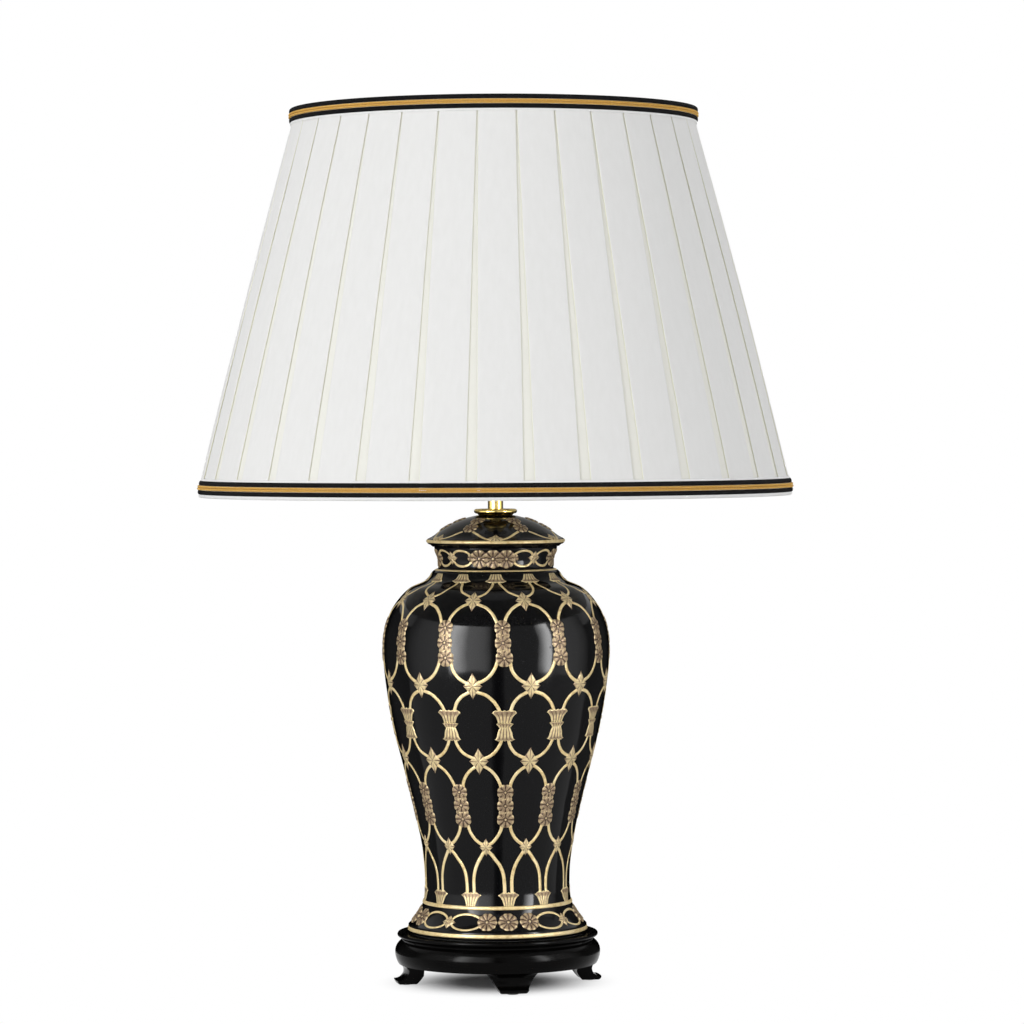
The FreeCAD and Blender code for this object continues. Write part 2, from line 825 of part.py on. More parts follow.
def make_neck():
    """The spun brass cap that centres on the lid's crown, and the tube that hides the rod."""
    top, edge, wall = size("cap_height"), size("cap_edge_height"), size("cap_wall")
    turned(
        "vase_cap",
        [
            (rod_hole, top - wall),
            (size("cap_radius"), top - wall),
            (size("cap_radius"), edge + wall, size("cap_inner_nose")),
            (size("cap_seat_radius") - wall, ZERO),
            (size("cap_seat_radius"), ZERO),
            (size("cap_radius"), edge, size("cap_cove")),
            (size("cap_radius"), top, -size("cap_nose")),
            (rod_hole, top),
        ],
        cap_bottom,
    )
    tube("neck_sleeve", rod_hole, size("sleeve_diameter") / 2, size("sleeve_length"), cap_top)


def make_harp():
    """The strip saddle on the rod, the bent-wire harp that stands on it and the two ferrules that
    slide down over each leg and saddle tongue."""
    thick, bend = size("saddle_thickness"), size("saddle_bend")
    outer = size("saddle_reach") + thick / 2
    inner = outer - thick
    shoulder = size("saddle_shoulder")
    tip = shoulder + size("saddle_tongue")
    saddle = new_body("harp_saddle", sleeve_top)
    strip = new_sketch(saddle, "XZ_Plane")
    draw_outline(
        strip,
        [
            (outer - bend, ZERO),
            (outer, bend, "crest_end"),
            (outer, tip),
            (inner, tip),
            (inner, bend),
            (outer - bend, thick, "crest_start"),
            (bend - outer, thick),
            (-inner, bend, "crest_end"),
            (-inner, tip),
            (-outer, tip),
            (-outer, bend),
            (bend - outer, ZERO, "crest_start"),
        ],
    )
    extrude(saddle, strip, size("saddle_width"), both_ways=True)
    disc = new_sketch(saddle, "XY_Plane")
    draw_circle(disc, ZERO, ZERO, size("saddle_disc_diameter") / 2)
    extrude(saddle, disc, thick)
    hole = new_sketch(saddle, "XY_Plane")
    draw_circle(hole, ZERO, ZERO, rod_hole)
    extrude(saddle, hole, thick, cut=True)
    cheeks = new_sketch(saddle, "YZ_Plane")
    half_tongue, half_width = size("saddle_tongue_width") / 2, size("saddle_width")
    for side in (1, -1):
        draw_outline(
            cheeks,
            [
                (half_tongue * side, shoulder),
                (half_width * side, shoulder),
                (half_width * side, tip + thick),
                (half_tongue * side, tip + thick),
            ],
        )
    extrude(saddle, cheeks, outer * 3, both_ways=True, cut=True)

    harp_bottom = tip + size("harp_gap")
    seat_top = harp_top - sleeve_top - harp_bottom
    wire_top = seat_top - size("harp_seat_thickness") / 2
    harp = new_body("harp", sleeve_top + harp_bottom)
    path = new_sketch(harp, "XZ_Plane")
    right = [
        (size("saddle_reach"), ZERO),
        (size("saddle_reach"), size("harp_leg")),
        (size("harp_side_reach"), size("harp_side_height")),
        (size("harp_top_reach"), wire_top),
    ]
    bends = [size("harp_leg_bend"), size("harp_side_bend"), size("harp_top_bend")]
    draw_path(path, right + [(-across, up) for across, up in reversed(right)], bends + bends[::-1])
    section = new_sketch(harp, "XY_Plane")
    draw_circle(section, size("saddle_reach"), ZERO, size("harp_wire") / 2)
    sweep(harp, section, path)
    post = new_sketch(harp, "XZ_Plane")
    draw_outline(
        post,
        [
            (ZERO, seat_top - size("harp_seat_thickness")),
            (size("harp_seat_diameter") / 2, seat_top - size("harp_seat_thickness")),
            (size("harp_seat_diameter") / 2, seat_top),
            (size("stud_diameter") / 2, seat_top),
            (size("stud_diameter") / 2, seat_top + size("stud_length")),
            (ZERO, seat_top + size("stud_length")),
        ],
    )
    revolve(harp, post)

    for name, side in (("left", -1), ("right", 1)):
        ferrule = new_body(f"ferrule_{name}", sleeve_top + shoulder + size("ferrule_fit"))
        end = new_sketch(ferrule, "XY_Plane")
        centre = size("saddle_reach") * side
        draw_circle(end, centre, ZERO, size("ferrule_bore") / 2)
        draw_circle(end, centre, ZERO, size("ferrule_bore") / 2 + size("ferrule_wall"))
        extrude(ferrule, end, size("ferrule_length"))


def make_finial():
    """The brass finial that screws down on the spider's hub."""
    hole = size("stud_diameter") / 2 + size("finial_fit")
    waist, ball = size("finial_waist_radius"), size("finial_ball_radius")
    turned(
        "finial",
        [
            (hole, ZERO),
            (size("finial_base_radius"), ZERO),
            (size("finial_base_radius"), size("finial_base_height")),
            (waist, size("finial_waist_height"), "crest_end"),
            (waist, size("finial_ball_height") - root(ball * ball - waist * waist)),
            (ball, size("finial_ball_height"), "crest_end"),
            (ZERO, size("finial_ball_height") + ball, "crest_start"),
            (ZERO, size("finial_hole_depth")),
            (hole, size("finial_hole_depth")),
        ],
        harp_top + size("spider_lift") + size("spider_hub_thickness") + size("finial_lift"),
    )


def make_lampholder():
    """The brass lampholder: a spun cap on the rod, an outer shell lined with card, the insulating
    body with its terminals, and the screw shell round the centre contact."""
    wall = size("holder_wall")
    cup_inner = size("cup_radius") - wall
    turned(
        "socket_cap",
        [
            (rod_grip_radius, ZERO),
            (size("hub_radius"), ZERO),
            (size("hub_radius"), size("hub_height")),
            (size("cup_radius"), size("cup_knee"), -size("cup_bow")),
            (size("cup_radius"), size("cup_height")),
            (cup_inner, size("cup_height")),
            (cup_inner, size("cup_knee")),
            (size("hub_radius"), size("hub_height") + wall, size("cup_bow")),
            (rod_grip_radius, size("hub_height") + wall),
        ],
        holder_bottom,
    )
    shell_radius = cup_inner - size("holder_gap")
    shell_inner = shell_radius - wall
    bead_bottom = size("shell_end") - size("shell_bead_height")
    shell = turned(
        "socket_shell",
        [
            (shell_inner, size("shell_start")),
            (shell_radius, size("shell_start")),
            (shell_radius, bead_bottom),
            (shell_radius, size("shell_end"), -size("shell_bead")),
            (shell_inner, size("shell_end")),
        ],
        holder_bottom,
    )
    drill_key_hole(shell, size("key_shaft_diameter") / 2 + size("key_hole_clearance"))
    liner_radius = shell_inner - size("holder_gap")
    liner_inner = liner_radius - size("liner_wall")
    liner_bottom = size("shell_start") + size("liner_inset")
    liner_top = size("shell_end") - size("liner_inset")
    liner = turned(
        "socket_liner",
        [
            (liner_inner, liner_bottom),
            (liner_radius, liner_bottom),
            (liner_radius, liner_top),
            (liner_inner, liner_top),
        ],
        holder_bottom,
    )
    drill_key_hole(liner, size("key_shaft_diameter") / 2 + size("key_hole_clearance"))
    insulator = turned(
        "socket_body",
        [
            (ZERO, size("insulator_start")),
            (liner_inner - size("holder_gap"), size("insulator_start")),
            (liner_inner - size("holder_gap"), size("insulator_end")),
            (ZERO, size("insulator_end")),
        ],
        holder_bottom,
    )
    shank_radius = size("terminal_shank_diameter") / 2
    screw_holes = new_sketch(insulator, "XY_Plane", size("insulator_start"))
    draw_circle(screw_holes, size("terminal_reach"), ZERO, shank_radius)
    draw_circle(screw_holes, -size("terminal_reach"), ZERO, shank_radius)
    extrude(insulator, screw_holes, size("terminal_shank_length"), cut=True)
    key_bore = new_sketch(insulator, "XZ_Plane")
    draw_circle(key_bore, ZERO, size("key_height"), size("key_shaft_diameter") / 2 + size("key_fit"))
    extrude(insulator, key_bore, size("cup_radius"), cut=True)

    screws = new_body("terminal_screws", holder_bottom)
    heads = new_sketch(screws, "XY_Plane", size("insulator_start") - size("terminal_head_height"))
    draw_circle(heads, size("terminal_reach"), ZERO, size("terminal_head_diameter") / 2)
    draw_circle(heads, -size("terminal_reach"), ZERO, size("terminal_head_diameter") / 2)
    extrude(screws, heads, size("terminal_head_height"))
    shanks = new_sketch(screws, "XY_Plane", size("insulator_start"))
    draw_circle(shanks, size("terminal_reach"), ZERO, shank_radius)
    draw_circle(shanks, -size("terminal_reach"), ZERO, shank_radius)
    extrude(screws, shanks, size("terminal_shank_length"))

    thin = size("screw_shell_wall")
    inner = size("screw_shell_radius")
    turned(
        "screw_shell",
        [
            (size("contact_radius") + size("contact_clearance"), ZERO),
            (inner + thin, ZERO),
            (inner + thin, size("shell_end") - size("insulator_end")),
            (inner, size("shell_end") - size("insulator_end")),
            (inner, thin),
            (size("contact_radius") + size("contact_clearance"), thin),
        ],
        holder_bottom + size("insulator_end"),
    )
    turned(
        "centre_contact",
        [
            (ZERO, ZERO),
            (size("contact_radius"), ZERO),
            (size("contact_radius"), thin),
            (ZERO, size("contact_height"), "level_end"),
        ],
        holder_bottom + size("insulator_end"),
    )


def drill_key_hole(body, radius):
    """A hole through the front of a tube for the switch key's shaft."""
    sketch = new_sketch(body, "XZ_Plane")
    draw_circle(sketch, ZERO, size("key_height"), radius)
    extrude(body, sketch, size("cup_radius") + size("cup_radius"), cut=True)


def make_switch_key():
    """The turn key: a steel shaft into the lampholder's body and a waisted paddle on its end."""
    height = holder_bottom + size("key_height")
    shaft_radius = size("key_shaft_diameter") / 2
    turned(
        "key_shaft",
        [
            (ZERO, size("key_shaft_start")),
            (shaft_radius, size("key_shaft_start")),
            (shaft_radius, size("key_shaft_end")),
            (ZERO, size("key_shaft_end")),
        ],
        height,
        tipped=True,
    )
    knob = new_body("switch_key", height, tipped=True)
    root = new_sketch(knob, "XY_Plane", size("knob_start"))
    draw_circle(root, ZERO, ZERO, size("knob_root_radius"))
    extrude(knob, root, size("knob_root_length"))
    paddle = new_sketch(knob, "XZ_Plane")
    root_width, tip_width = size("knob_root_radius") / 2, size("knob_tip_width") / 2
    low = size("knob_start") + size("knob_root_length") / 2
    high = size("knob_start") + size("knob_length") - size("knob_tip_bow")
    draw_outline(
        paddle,
        [
            (root_width, low),
            (tip_width, high, size("knob_side_hollow")),
            (-tip_width, high, -size("knob_tip_bow")),
            (-root_width, low, size("knob_side_hollow")),
        ],
    )
    extrude(knob, paddle, size("knob_thickness"), both_ways=True)
    bore = new_sketch(knob, "XY_Plane")
    draw_circle(bore, ZERO, ZERO, shaft_radius + size("rod_grip"))
    extrude(knob, bore, size("key_shaft_end") + size("rod_grip"), cut=True)


def make_bulb():
    """A pear-shaped bulb: hollow glass, metal cap, insulating plug and centre contact."""
    bottom = holder_bottom + size("insulator_end") + size("contact_height") + size("bulb_gap")
    wall = size("bulb_glass_wall")
    globe = size("bulb_radius")
    centre = size("bulb_length") - globe
    shrink = (globe - wall) / globe
    turned(
        "bulb_glass",
        [
            (size("bulb_neck_radius") - wall, size("bulb_neck_start")),
            (size("bulb_neck_radius"), size("bulb_neck_start")),
            (size("bulb_neck_radius"), size("bulb_neck_height")),
            (size("bulb_join_radius"), size("bulb_join_height"), "crest_start"),
            (ZERO, size("bulb_length"), "level_end"),
            (ZERO, size("bulb_length") - wall),
            (
                size("bulb_join_radius") * shrink,
                centre + (size("bulb_join_height") - centre) * shrink,
                "level_start",
            ),
            (size("bulb_neck_radius") - wall, size("bulb_neck_height"), "crest_end"),
        ],
        bottom,
    )
    cap_inner = size("bulb_cap_radius") - size("bulb_cap_wall")
    tube(
        "bulb_cap",
        cap_inner,
        size("bulb_cap_radius"),
        size("bulb_cap_end") - size("bulb_cap_start"),
        bottom + size("bulb_cap_start"),
    )
    turned(
        "bulb_insulator",
        [
            (ZERO, size("bulb_contact_height")),
            (size("bulb_contact_radius"), size("bulb_contact_height")),
            (cap_inner, size("bulb_cap_start") - size("bulb_cap_taper")),
            (cap_inner, size("bulb_plug_height")),
            (ZERO, size("bulb_plug_height")),
        ],
        bottom,
    )
    turned(
        "bulb_contact",
        [
            (ZERO, ZERO),
            (size("bulb_contact_radius"), size("bulb_contact_height"), "level_start"),
            (ZERO, size("bulb_contact_height")),
        ],
        bottom,
    )


# The shade's cone: where its two upright collars end, and how far inside the pleats' faces the
# wires run. The cover's inner side is flat between twice as many corners as there are pleats.
cone_bottom = size("shade_bottom_height") + size("shade_bottom_collar")
cone_top = size("shade_top_height") - size("shade_top_collar")
flat_share = Size(math.cos(math.radians(90 / SIZES["pleat_count"])), "cos(90 / Sizes.pleat_count)")
wire_radius = size("frame_wire") / 2


def wire_line(shade_radius):
    """The radius of the middle of the frame's wires where the shade has a given radius."""
    inner = shade_radius - size("pleat_depth") - size("cover_thickness")
    return inner * flat_share - size("frame_fit") - wire_radius


def lining_line(shade_radius):
    """The outer radius of the lining, just inside the wires."""
    return wire_line(shade_radius) - wire_radius - size("lining_fit")


def around(radius, degrees, height):
    """A point at a compass angle, counted from the front to the right."""
    angle = math.radians(degrees)
    return V(radius * math.sin(angle), -radius * math.cos(angle), height)


def make_shade_cover():
    """Box-pleated cover: straight panels stand proud of narrow recesses, which widen downwards."""
    count = round(size("pleat_count").value)
    pitch = 360 / count
    depth = size("pleat_depth").value
    thickness = size("cover_thickness").value
    bottom_radius, top_radius = size("shade_bottom_radius").value, size("shade_top_radius").value
    levels = [
        (size("shade_bottom_height").value, bottom_radius, size("pleat_gap_bottom").value),
        (cone_bottom.value, bottom_radius, size("pleat_gap_bottom").value),
        (cone_top.value, top_radius, size("pleat_gap_top").value),
        (size("shade_top_height").value, top_radius, size("pleat_gap_top").value),
    ]
    outer_rows = []
    inner_rows = []
    for height, radius, gap in levels:
        half_panel = (pitch - math.degrees(gap / radius)) / 2
        outer = []
        inner = []
        for number in range(count):
            middle = size("pleat_turn").value + pitch * number
            outer.append(around(radius, middle - half_panel, height))
            outer.append(around(radius, middle + half_panel, height))
            outer.append(around(radius - depth, middle + half_panel, height))
            outer.append(around(radius - depth, middle + pitch - half_panel, height))
            inner.append(around(radius - depth - thickness, middle, height))
            inner.append(around(radius - depth - thickness, middle + pitch / 2, height))
        outer_rows.append(outer)
        inner_rows.append(inner)
    faces = []
    for rows in (outer_rows, inner_rows):
        for lower, upper in zip(rows, rows[1:]):
            for number in range(len(lower)):
                near = Part.LineSegment(lower[number - 1], lower[number]).toShape()
                far = Part.LineSegment(upper[number - 1], upper[number]).toShape()
                faces.append(Part.makeRuledSurface(near, far))
    for row in (0, -1):
        rim = Part.Face(Part.makePolygon(outer_rows[row] + outer_rows[row][:1]))
        mouth = Part.Face(Part.makePolygon(inner_rows[row] + inner_rows[row][:1]))
        faces.append(rim.cut(mouth).Faces[0])
    shell = Part.makeShell(faces)
    shell.sewShape()
    solid = Part.makeSolid(shell)
    if solid.Volume < 0:
        solid.reverse()
    cover = doc.addObject("Part::Feature", "shade_cover")
    cover.Label = "shade_cover"
    cover.Shape = solid


def make_shade_frame():
    """The wire frame inside the cover: two hoops, straight struts between them and the lining."""
    bottom_hoop = size("shade_bottom_height") + size("frame_inset") + wire_radius
    top_hoop = size("shade_top_height") - size("frame_inset") - wire_radius
    low, high = wire_line(size("shade_bottom_radius")), wire_line(size("shade_top_radius"))
    wire_hoop("bottom_ring", low, wire_radius, bottom_hoop)
    wire_hoop("top_ring", high, wire_radius, top_hoop)
    start = bottom_hoop + wire_radius
    struts = new_body("frame_struts", start)
    path = new_sketch(struts, "XZ_Plane")
    draw_path(
        path,
        [
            (low, ZERO),
            (low, cone_bottom - start),
            (high, cone_top - start),
            (high, top_hoop - wire_radius - start),
        ],
        [size("strut_bend"), size("strut_bend")],
    )
    section = new_sketch(struts, "XY_Plane")
    draw_circle(section, low, ZERO, wire_radius)
    strut = sweep(struts, section, path)
    repeat(struts, strut, section, size("strut_count"))

    outer_low = lining_line(size("shade_bottom_radius"))
    outer_high = lining_line(size("shade_top_radius"))
    thick = size("lining_thickness")
    foot = size("shade_bottom_height") + size("lining_start")
    head = size("shade_top_height") - size("lining_end")
    turned(
        "shade_lining",
        [
            (outer_low - thick, foot - foot),
            (outer_low, foot - foot),
            (outer_low, cone_bottom - foot),
            (outer_high, cone_top - foot),
            (outer_high, head - foot),
            (outer_high - thick, head - foot),
            (outer_high - thick, cone_top - foot),
            (outer_low - thick, cone_bottom - foot),
        ],
        foot,
    )


def make_trims():
    """The braid bands glued round the cover at both ends."""
    fit, width, edge = size("trim_fit"), size("trim_width"), size("trim_edge")
    low, high = size("shade_bottom_radius") + fit, size("shade_top_radius") + fit
    knee = size("shade_bottom_collar") - size("trim_bottom_start")
    slope = (low - high) / (cone_top - cone_bottom)
    upper = low - slope * (width - knee)
    turned(
        "bottom_trim",
        [
            (low, ZERO),
            (low + edge, ZERO),
            (upper + edge, width, -size("trim_knee_crown")),
            (upper, width),
            (low, knee),
        ],
        size("shade_bottom_height") + size("trim_bottom_start"),
    )
    turned(
        "top_trim",
        [(high, ZERO), (high + edge, ZERO), (high + edge, width, -size("trim_crown")), (high, width)],
        size("shade_top_height") + size("trim_top_reach") - width,
    )


def make_spider():
    """The hub that sits on the harp and the three recessed arms that carry the top hoop."""
    hub_bottom = harp_top + size("spider_lift")
    hub_middle = hub_bottom + size("spider_hub_thickness") / 2
    hub_radius = size("spider_hub_diameter") / 2
    tube(
        "spider_hub",
        size("stud_diameter") / 2 + size("spider_fit"),
        hub_radius,
        size("spider_hub_thickness"),
        hub_bottom,
    )
    rise = size("shade_top_height") - size("frame_inset") - wire_radius - hub_middle
    ring_inside = wire_line(size("shade_top_radius")) - wire_radius
    arms = new_body("spider_arms", hub_middle, SIZES["spider_arm_turn"])
    path = new_sketch(arms, "XZ_Plane")
    draw_path(
        path,
        [
            (hub_radius, ZERO),
            (size("spider_arm_level"), ZERO),
            (ring_inside - size("spider_arm_shelf"), rise),
            (ring_inside, rise),
        ],
        [size("spider_arm_bend"), size("spider_arm_bend")],
    )
    section = new_sketch(arms, "YZ_Plane", hub_radius)
    draw_circle(section, ZERO, ZERO, size("spider_wire") / 2)
    arm = sweep(arms, section, path)
    middle = new_sketch(arms, "XY_Plane")
    draw_circle(middle, ZERO, ZERO, hub_radius)
    repeat(arms, arm, middle, size("spider_arm_count"))


make_stand()
make_rod()
make_jar()
make_lid()
make_neck()
make_harp()
make_finial()
make_lampholder()
make_switch_key()
make_bulb()
make_shade_cover()
make_shade_frame()
make_trims()
make_spider()

doc.recompute()
pieces = [item for item in doc.Objects if item.TypeId in ("PartDesign::Body", "Part::Feature")]
for item in doc.Objects:
    if "Invalid" in item.State or "Error" in item.State:
        raise RuntimeError(f"{item.Label} did not build: {item.State}")
for item in pieces:
    if item.Shape.isNull() or not item.Shape.isValid() or not item.Shape.Solids:
        raise RuntimeError(f"{item.Label} is not a valid solid")
os.makedirs("parts", exist_ok=True)
for item in pieces:
    item.Shape.exportStep(f"parts/{item.Label}.step")
print(f"{len(pieces)} pieces written")
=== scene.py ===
import math

import bpy
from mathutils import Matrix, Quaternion, Vector
from mathutils.bvhtree import BVHTree


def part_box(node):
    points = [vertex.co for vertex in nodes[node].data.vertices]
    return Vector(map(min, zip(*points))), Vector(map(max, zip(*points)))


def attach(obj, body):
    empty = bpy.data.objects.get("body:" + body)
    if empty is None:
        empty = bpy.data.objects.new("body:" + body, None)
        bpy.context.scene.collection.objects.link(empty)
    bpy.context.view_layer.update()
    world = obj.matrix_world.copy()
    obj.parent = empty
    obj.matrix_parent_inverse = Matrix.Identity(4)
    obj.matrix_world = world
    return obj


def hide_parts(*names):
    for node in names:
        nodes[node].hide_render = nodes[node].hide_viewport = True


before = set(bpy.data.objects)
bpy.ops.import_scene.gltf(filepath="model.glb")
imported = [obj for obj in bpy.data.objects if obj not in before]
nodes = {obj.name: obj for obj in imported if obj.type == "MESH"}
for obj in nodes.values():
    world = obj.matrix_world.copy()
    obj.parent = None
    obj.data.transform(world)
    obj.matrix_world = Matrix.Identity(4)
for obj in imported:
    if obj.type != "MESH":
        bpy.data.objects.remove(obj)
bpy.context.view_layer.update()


# The stand: a turned board with a thin lip, a bulged ring and four scrolled feet of close-grained
# wood, glued up, lacquered black and rubbed down to a satin.


class Wire:
    """An output of a node. Sums and products written on wires add Math nodes."""

    def __init__(self, net, socket):
        self.net = net
        self.socket = socket

    def __add__(self, other):
        return self.net.maths("ADD", self, other)

    def __sub__(self, other):
        return self.net.maths("SUBTRACT", self, other)

    def __mul__(self, other):
        return self.net.maths("MULTIPLY", self, other)


class Net:
    """A tree of nodes under construction."""

    def __init__(self, tree):
        self.tree = tree

    def join(self, value, socket):
        if isinstance(value, Wire):
            self.tree.links.new(value.socket, socket)
        else:
            socket.default_value = value

    def add(self, kind, settings=None, sockets=None, output=0):
        """A node of a type, with its settings first and then its sockets' values or wires."""
        node = self.tree.nodes.new(kind)
        for name, value in (settings or {}).items():
            setattr(node, name, value)
        for name, value in (sockets or {}).items():
            self.join(value, node.inputs[name])
        return Wire(self, node.outputs[output])

    def maths(self, operation, *values):
        return self.add("ShaderNodeMath", {"operation": operation}, dict(enumerate(values)))

    def vectors(self, operation, sockets, output=0):
        return self.add("ShaderNodeVectorMath", {"operation": operation}, sockets, output)

    def axis(self, vector, number):
        """One number of a vector, counted from 0."""
        return self.add("ShaderNodeSeparateXYZ", {}, {0: vector}, number)

    def tint(self, share, first, second):
        """A colour from the first, where share is 0, to the second, where it is 1."""
        tones = [tone if isinstance(tone, Wire) else (*tone, 1) for tone in (first, second)]
        wires = {0: share, 6: tones[0], 7: tones[1]}
        return self.add("ShaderNodeMix", {"data_type": "RGBA"}, wires, 2)


class Finish(Net):
    """A material: its nodes, and the surface shader whose sockets they feed."""

    def __init__(self, name, sockets):
        self.material = bpy.data.materials.new(name)
        self.material.use_nodes = True
        super().__init__(self.material.node_tree)
        self.surface = self.tree.nodes["Principled BSDF"]
        self.place = self.add("ShaderNodeTexCoord", output=3)
        self.feed(sockets)

    def feed(self, sockets):
        for name, value in sockets.items():
            self.join(value, self.surface.inputs[name])

    def stretched(self, scale):
        return self.add("ShaderNodeMapping", {}, {"Vector": self.place, "Scale": scale})

    def marked(self, name):
        """The value that a piece's points keep under a name."""
        return self.add("ShaderNodeAttribute", {"attribute_name": name}, {}, 2)

    def noise(self, scale, detail, vector=None):
        wires = {"Vector": vector or self.place, "Scale": scale, "Detail": detail}
        return self.add("ShaderNodeTexNoise", {}, wires)

    def span(self, value, low, high, start=0.0, end=1.0):
        """Follows value smoothly, from start where it is low to end where it is high."""
        wires = {"Value": value, 1: low, 2: high, 3: start, 4: end}
        return self.add("ShaderNodeMapRange", {"interpolation_type": "SMOOTHSTEP"}, wires)

    def ramp(self, share, stops):
        """A colour that follows share through stops of (share, colour)."""
        wire = self.add("ShaderNodeValToRGB", {}, {0: share})
        tones = wire.socket.node.color_ramp.elements
        tones.remove(tones[1])
        tones[0].position = stops[0][0]
        tones[0].color = (*stops[0][1], 1)
        for place, colour in stops[1:]:
            tones.new(place).color = (*colour, 1)
        return wire

    def emboss(self, height, distance):
        """Raises the surface where height is 1, by a distance."""
        self.feed({"Normal": self.add("ShaderNodeBump", {}, {"Height": height, "Distance": distance})})


def dress(finish, *names):
    """Gives solids of the frame a finish."""
    for name in names:
        nodes[name].material_slots[0].material = finish.material


lacquer = Finish("black lacquer", {"Specular IOR Level": 0.045})
grain = lacquer.noise(55, 6, lacquer.stretched((1, 1, 9)))
rubbing = lacquer.noise(140, 3)
lacquer.feed(
    {
        "Base Color": lacquer.tint(grain, (0.0008, 0.0008, 0.0008), (0.0026, 0.0022, 0.002)),
        "Roughness": lacquer.span(rubbing, 0.3, 0.75, 0.15, 0.24),
    }
)
lacquer.emboss(grain + rubbing * 0.6, 0.00002)
dress(lacquer, "stand_top", "stand_apron", "foot_front", "foot_right", "foot_back", "foot_left")


# Under the feet: four discs cut from pressed wool felt, dyed black, one glued to the sole of each
# foot. The knife leaves their edges a little rounded.


class Recipe(Net):
    """A geometry tree with named inputs that turns one mesh into a finished piece."""

    def __init__(self, name):
        super().__init__(bpy.data.node_groups.new(name, "GeometryNodeTree"))
        for way in ("INPUT", "OUTPUT"):
            self.tree.interface.new_socket("Geometry", in_out=way, socket_type="NodeSocketGeometry")
        self.entry = self.tree.nodes.new("NodeGroupInput")
        self.exit = self.tree.nodes.new("NodeGroupOutput")
        self.start = Wire(self, self.entry.outputs[0])
        self.names = {}

    def ask(self, name, kind="Float"):
        """An input of the tree."""
        item = self.tree.interface.new_socket(name, in_out="INPUT", socket_type=f"NodeSocket{kind}")
        self.names[name] = item.identifier
        return Wire(self, self.entry.outputs[name])

    def copies(self, shape):
        """As many turned copies of a shape round the lamp's axis as the tree's Count says."""
        count, turn = self.ask("Count", "Int"), self.ask("Turn")
        index = self.add("GeometryNodeInputIndex")
        angle = index * self.maths("DIVIDE", math.tau, count) + turn
        euler = self.add("ShaderNodeCombineXYZ", {}, {"Z": angle})
        rotation = self.add("FunctionNodeEulerToRotation", {}, {"Euler": euler})
        points = self.add("GeometryNodePoints", {}, {"Count": count})
        wires = {"Points": points, "Instance": shape, "Rotation": rotation}
        return self.add("GeometryNodeInstanceOnPoints", {}, wires)

    def deliver(self, shape):
        whole = self.add("GeometryNodeRealizeInstances", {}, {"Geometry": shape})
        wires = {"Geometry": whole, "Material": self.ask("Finish", "Material")}
        painted = self.add("GeometryNodeSetMaterial", {}, wires)
        self.join(painted, self.exit.inputs[0])

    def make(self, piece, values):
        """Runs the tree on a piece and keeps the result as its plain mesh."""
        modifier = piece.modifiers.new("recipe", "NODES")
        modifier.node_group = self.tree
        for name, value in values.items():
            modifier[self.names[name]] = value
        settle(piece)


def settle(piece):
    """Turns what the modifiers make of a piece into its own plain mesh."""
    evaluated = piece.evaluated_get(bpy.context.evaluated_depsgraph_get())
    mesh = bpy.data.meshes.new_from_object(evaluated)
    piece.modifiers.clear()
    piece.data = mesh


def piece_of(name, points, faces, edges=(), finish=None):
    mesh = bpy.data.meshes.new(name)
    mesh.from_pydata(points, edges, faces)
    mesh.shade_smooth()
    if finish:
        mesh.materials.append(finish.material)
    piece = bpy.data.objects.new(name, mesh)
    bpy.context.scene.collection.objects.link(piece)
    return piece


def grid(rows, size, ring=False, loop=False):
    """Faces between neighbouring rows of as many points. In a ring the last row is joined to the
    first, and in a loop the last point of each row to its first."""
    faces = []
    for row in range(rows if ring else rows - 1):
        here, there = row * size, (row + 1) % rows * size
        for place in range(size if loop else size - 1):
            after = (place + 1) % size
            faces.append((here + place, there + place, there + after, here + after))
    return faces


def spun(name, outline, steps, forward=0.0, closed=False, finish=None):
    """A turned piece: an outline of (radius, height) pairs carried round an upright axis, which
    stands forward of the lamp's."""
    points = []
    for step in range(steps):
        angle = math.tau * step / steps
        for radius, height in outline:
            points.append((radius * math.cos(angle), radius * math.sin(angle) - forward, height))
    return piece_of(name, points, grid(steps, len(outline), True, closed), finish=finish)


def mottled(name, sockets, noise, tones, bump, rough=(), reach=(0.3, 0.7)):
    """A finish whose colour, height and, where it is given, roughness follow one fine noise."""
    finish = Finish(name, sockets)
    share = finish.noise(*noise)
    finish.feed({"Base Color": finish.tint(share, *tones)})
    if rough:
        finish.feed({"Roughness": finish.span(share, *reach, *rough)})
    finish.emboss(share, bump)
    return finish


def matt(roughness, shine):
    """The surface values of a dull finish."""
    return {"Roughness": roughness, "Specular IOR Level": shine}


rings_of = Recipe("copies round the axis")
rings_of.deliver(rings_of.copies(rings_of.start))

felt_tones = ((0.01, 0.01, 0.01), (0.045, 0.044, 0.042))
felt = mottled("black felt", {**matt(0.95, 0.1), "Sheen Weight": 0.4}, (1800, 4), felt_tones, 0.0003)

pad_low, pad_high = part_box("foot_pads")
pad_height = pad_high.z - pad_low.z
pad_radius = 0.005
pad_middle = 0.00001
pad_circle = 0.0794
pad_outline = [
    (pad_middle, 0.0),
    (pad_radius - 0.0004, 0.0),
    (pad_radius - 0.00008, pad_height * 0.15),
    (pad_radius, pad_height * 0.5),
    (pad_radius - 0.0001, pad_height * 0.85),
    (pad_radius - 0.0003, pad_height),
    (pad_middle, pad_height),
]
stand_turn = math.radians(9)
felt_pads = spun("felt_pads", pad_outline, 40, pad_circle)
rings_of.make(felt_pads, {"Count": 4, "Turn": stand_turn, "Finish": felt.material})
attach(felt_pads, "lamp")
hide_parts("foot_pads")


# The clamp under the board: a hollow threaded rod with a washer, split washer and nut of zinced
# steel, and a rubber bush where the cord leaves the ring. A rubber ring lies under the jar.


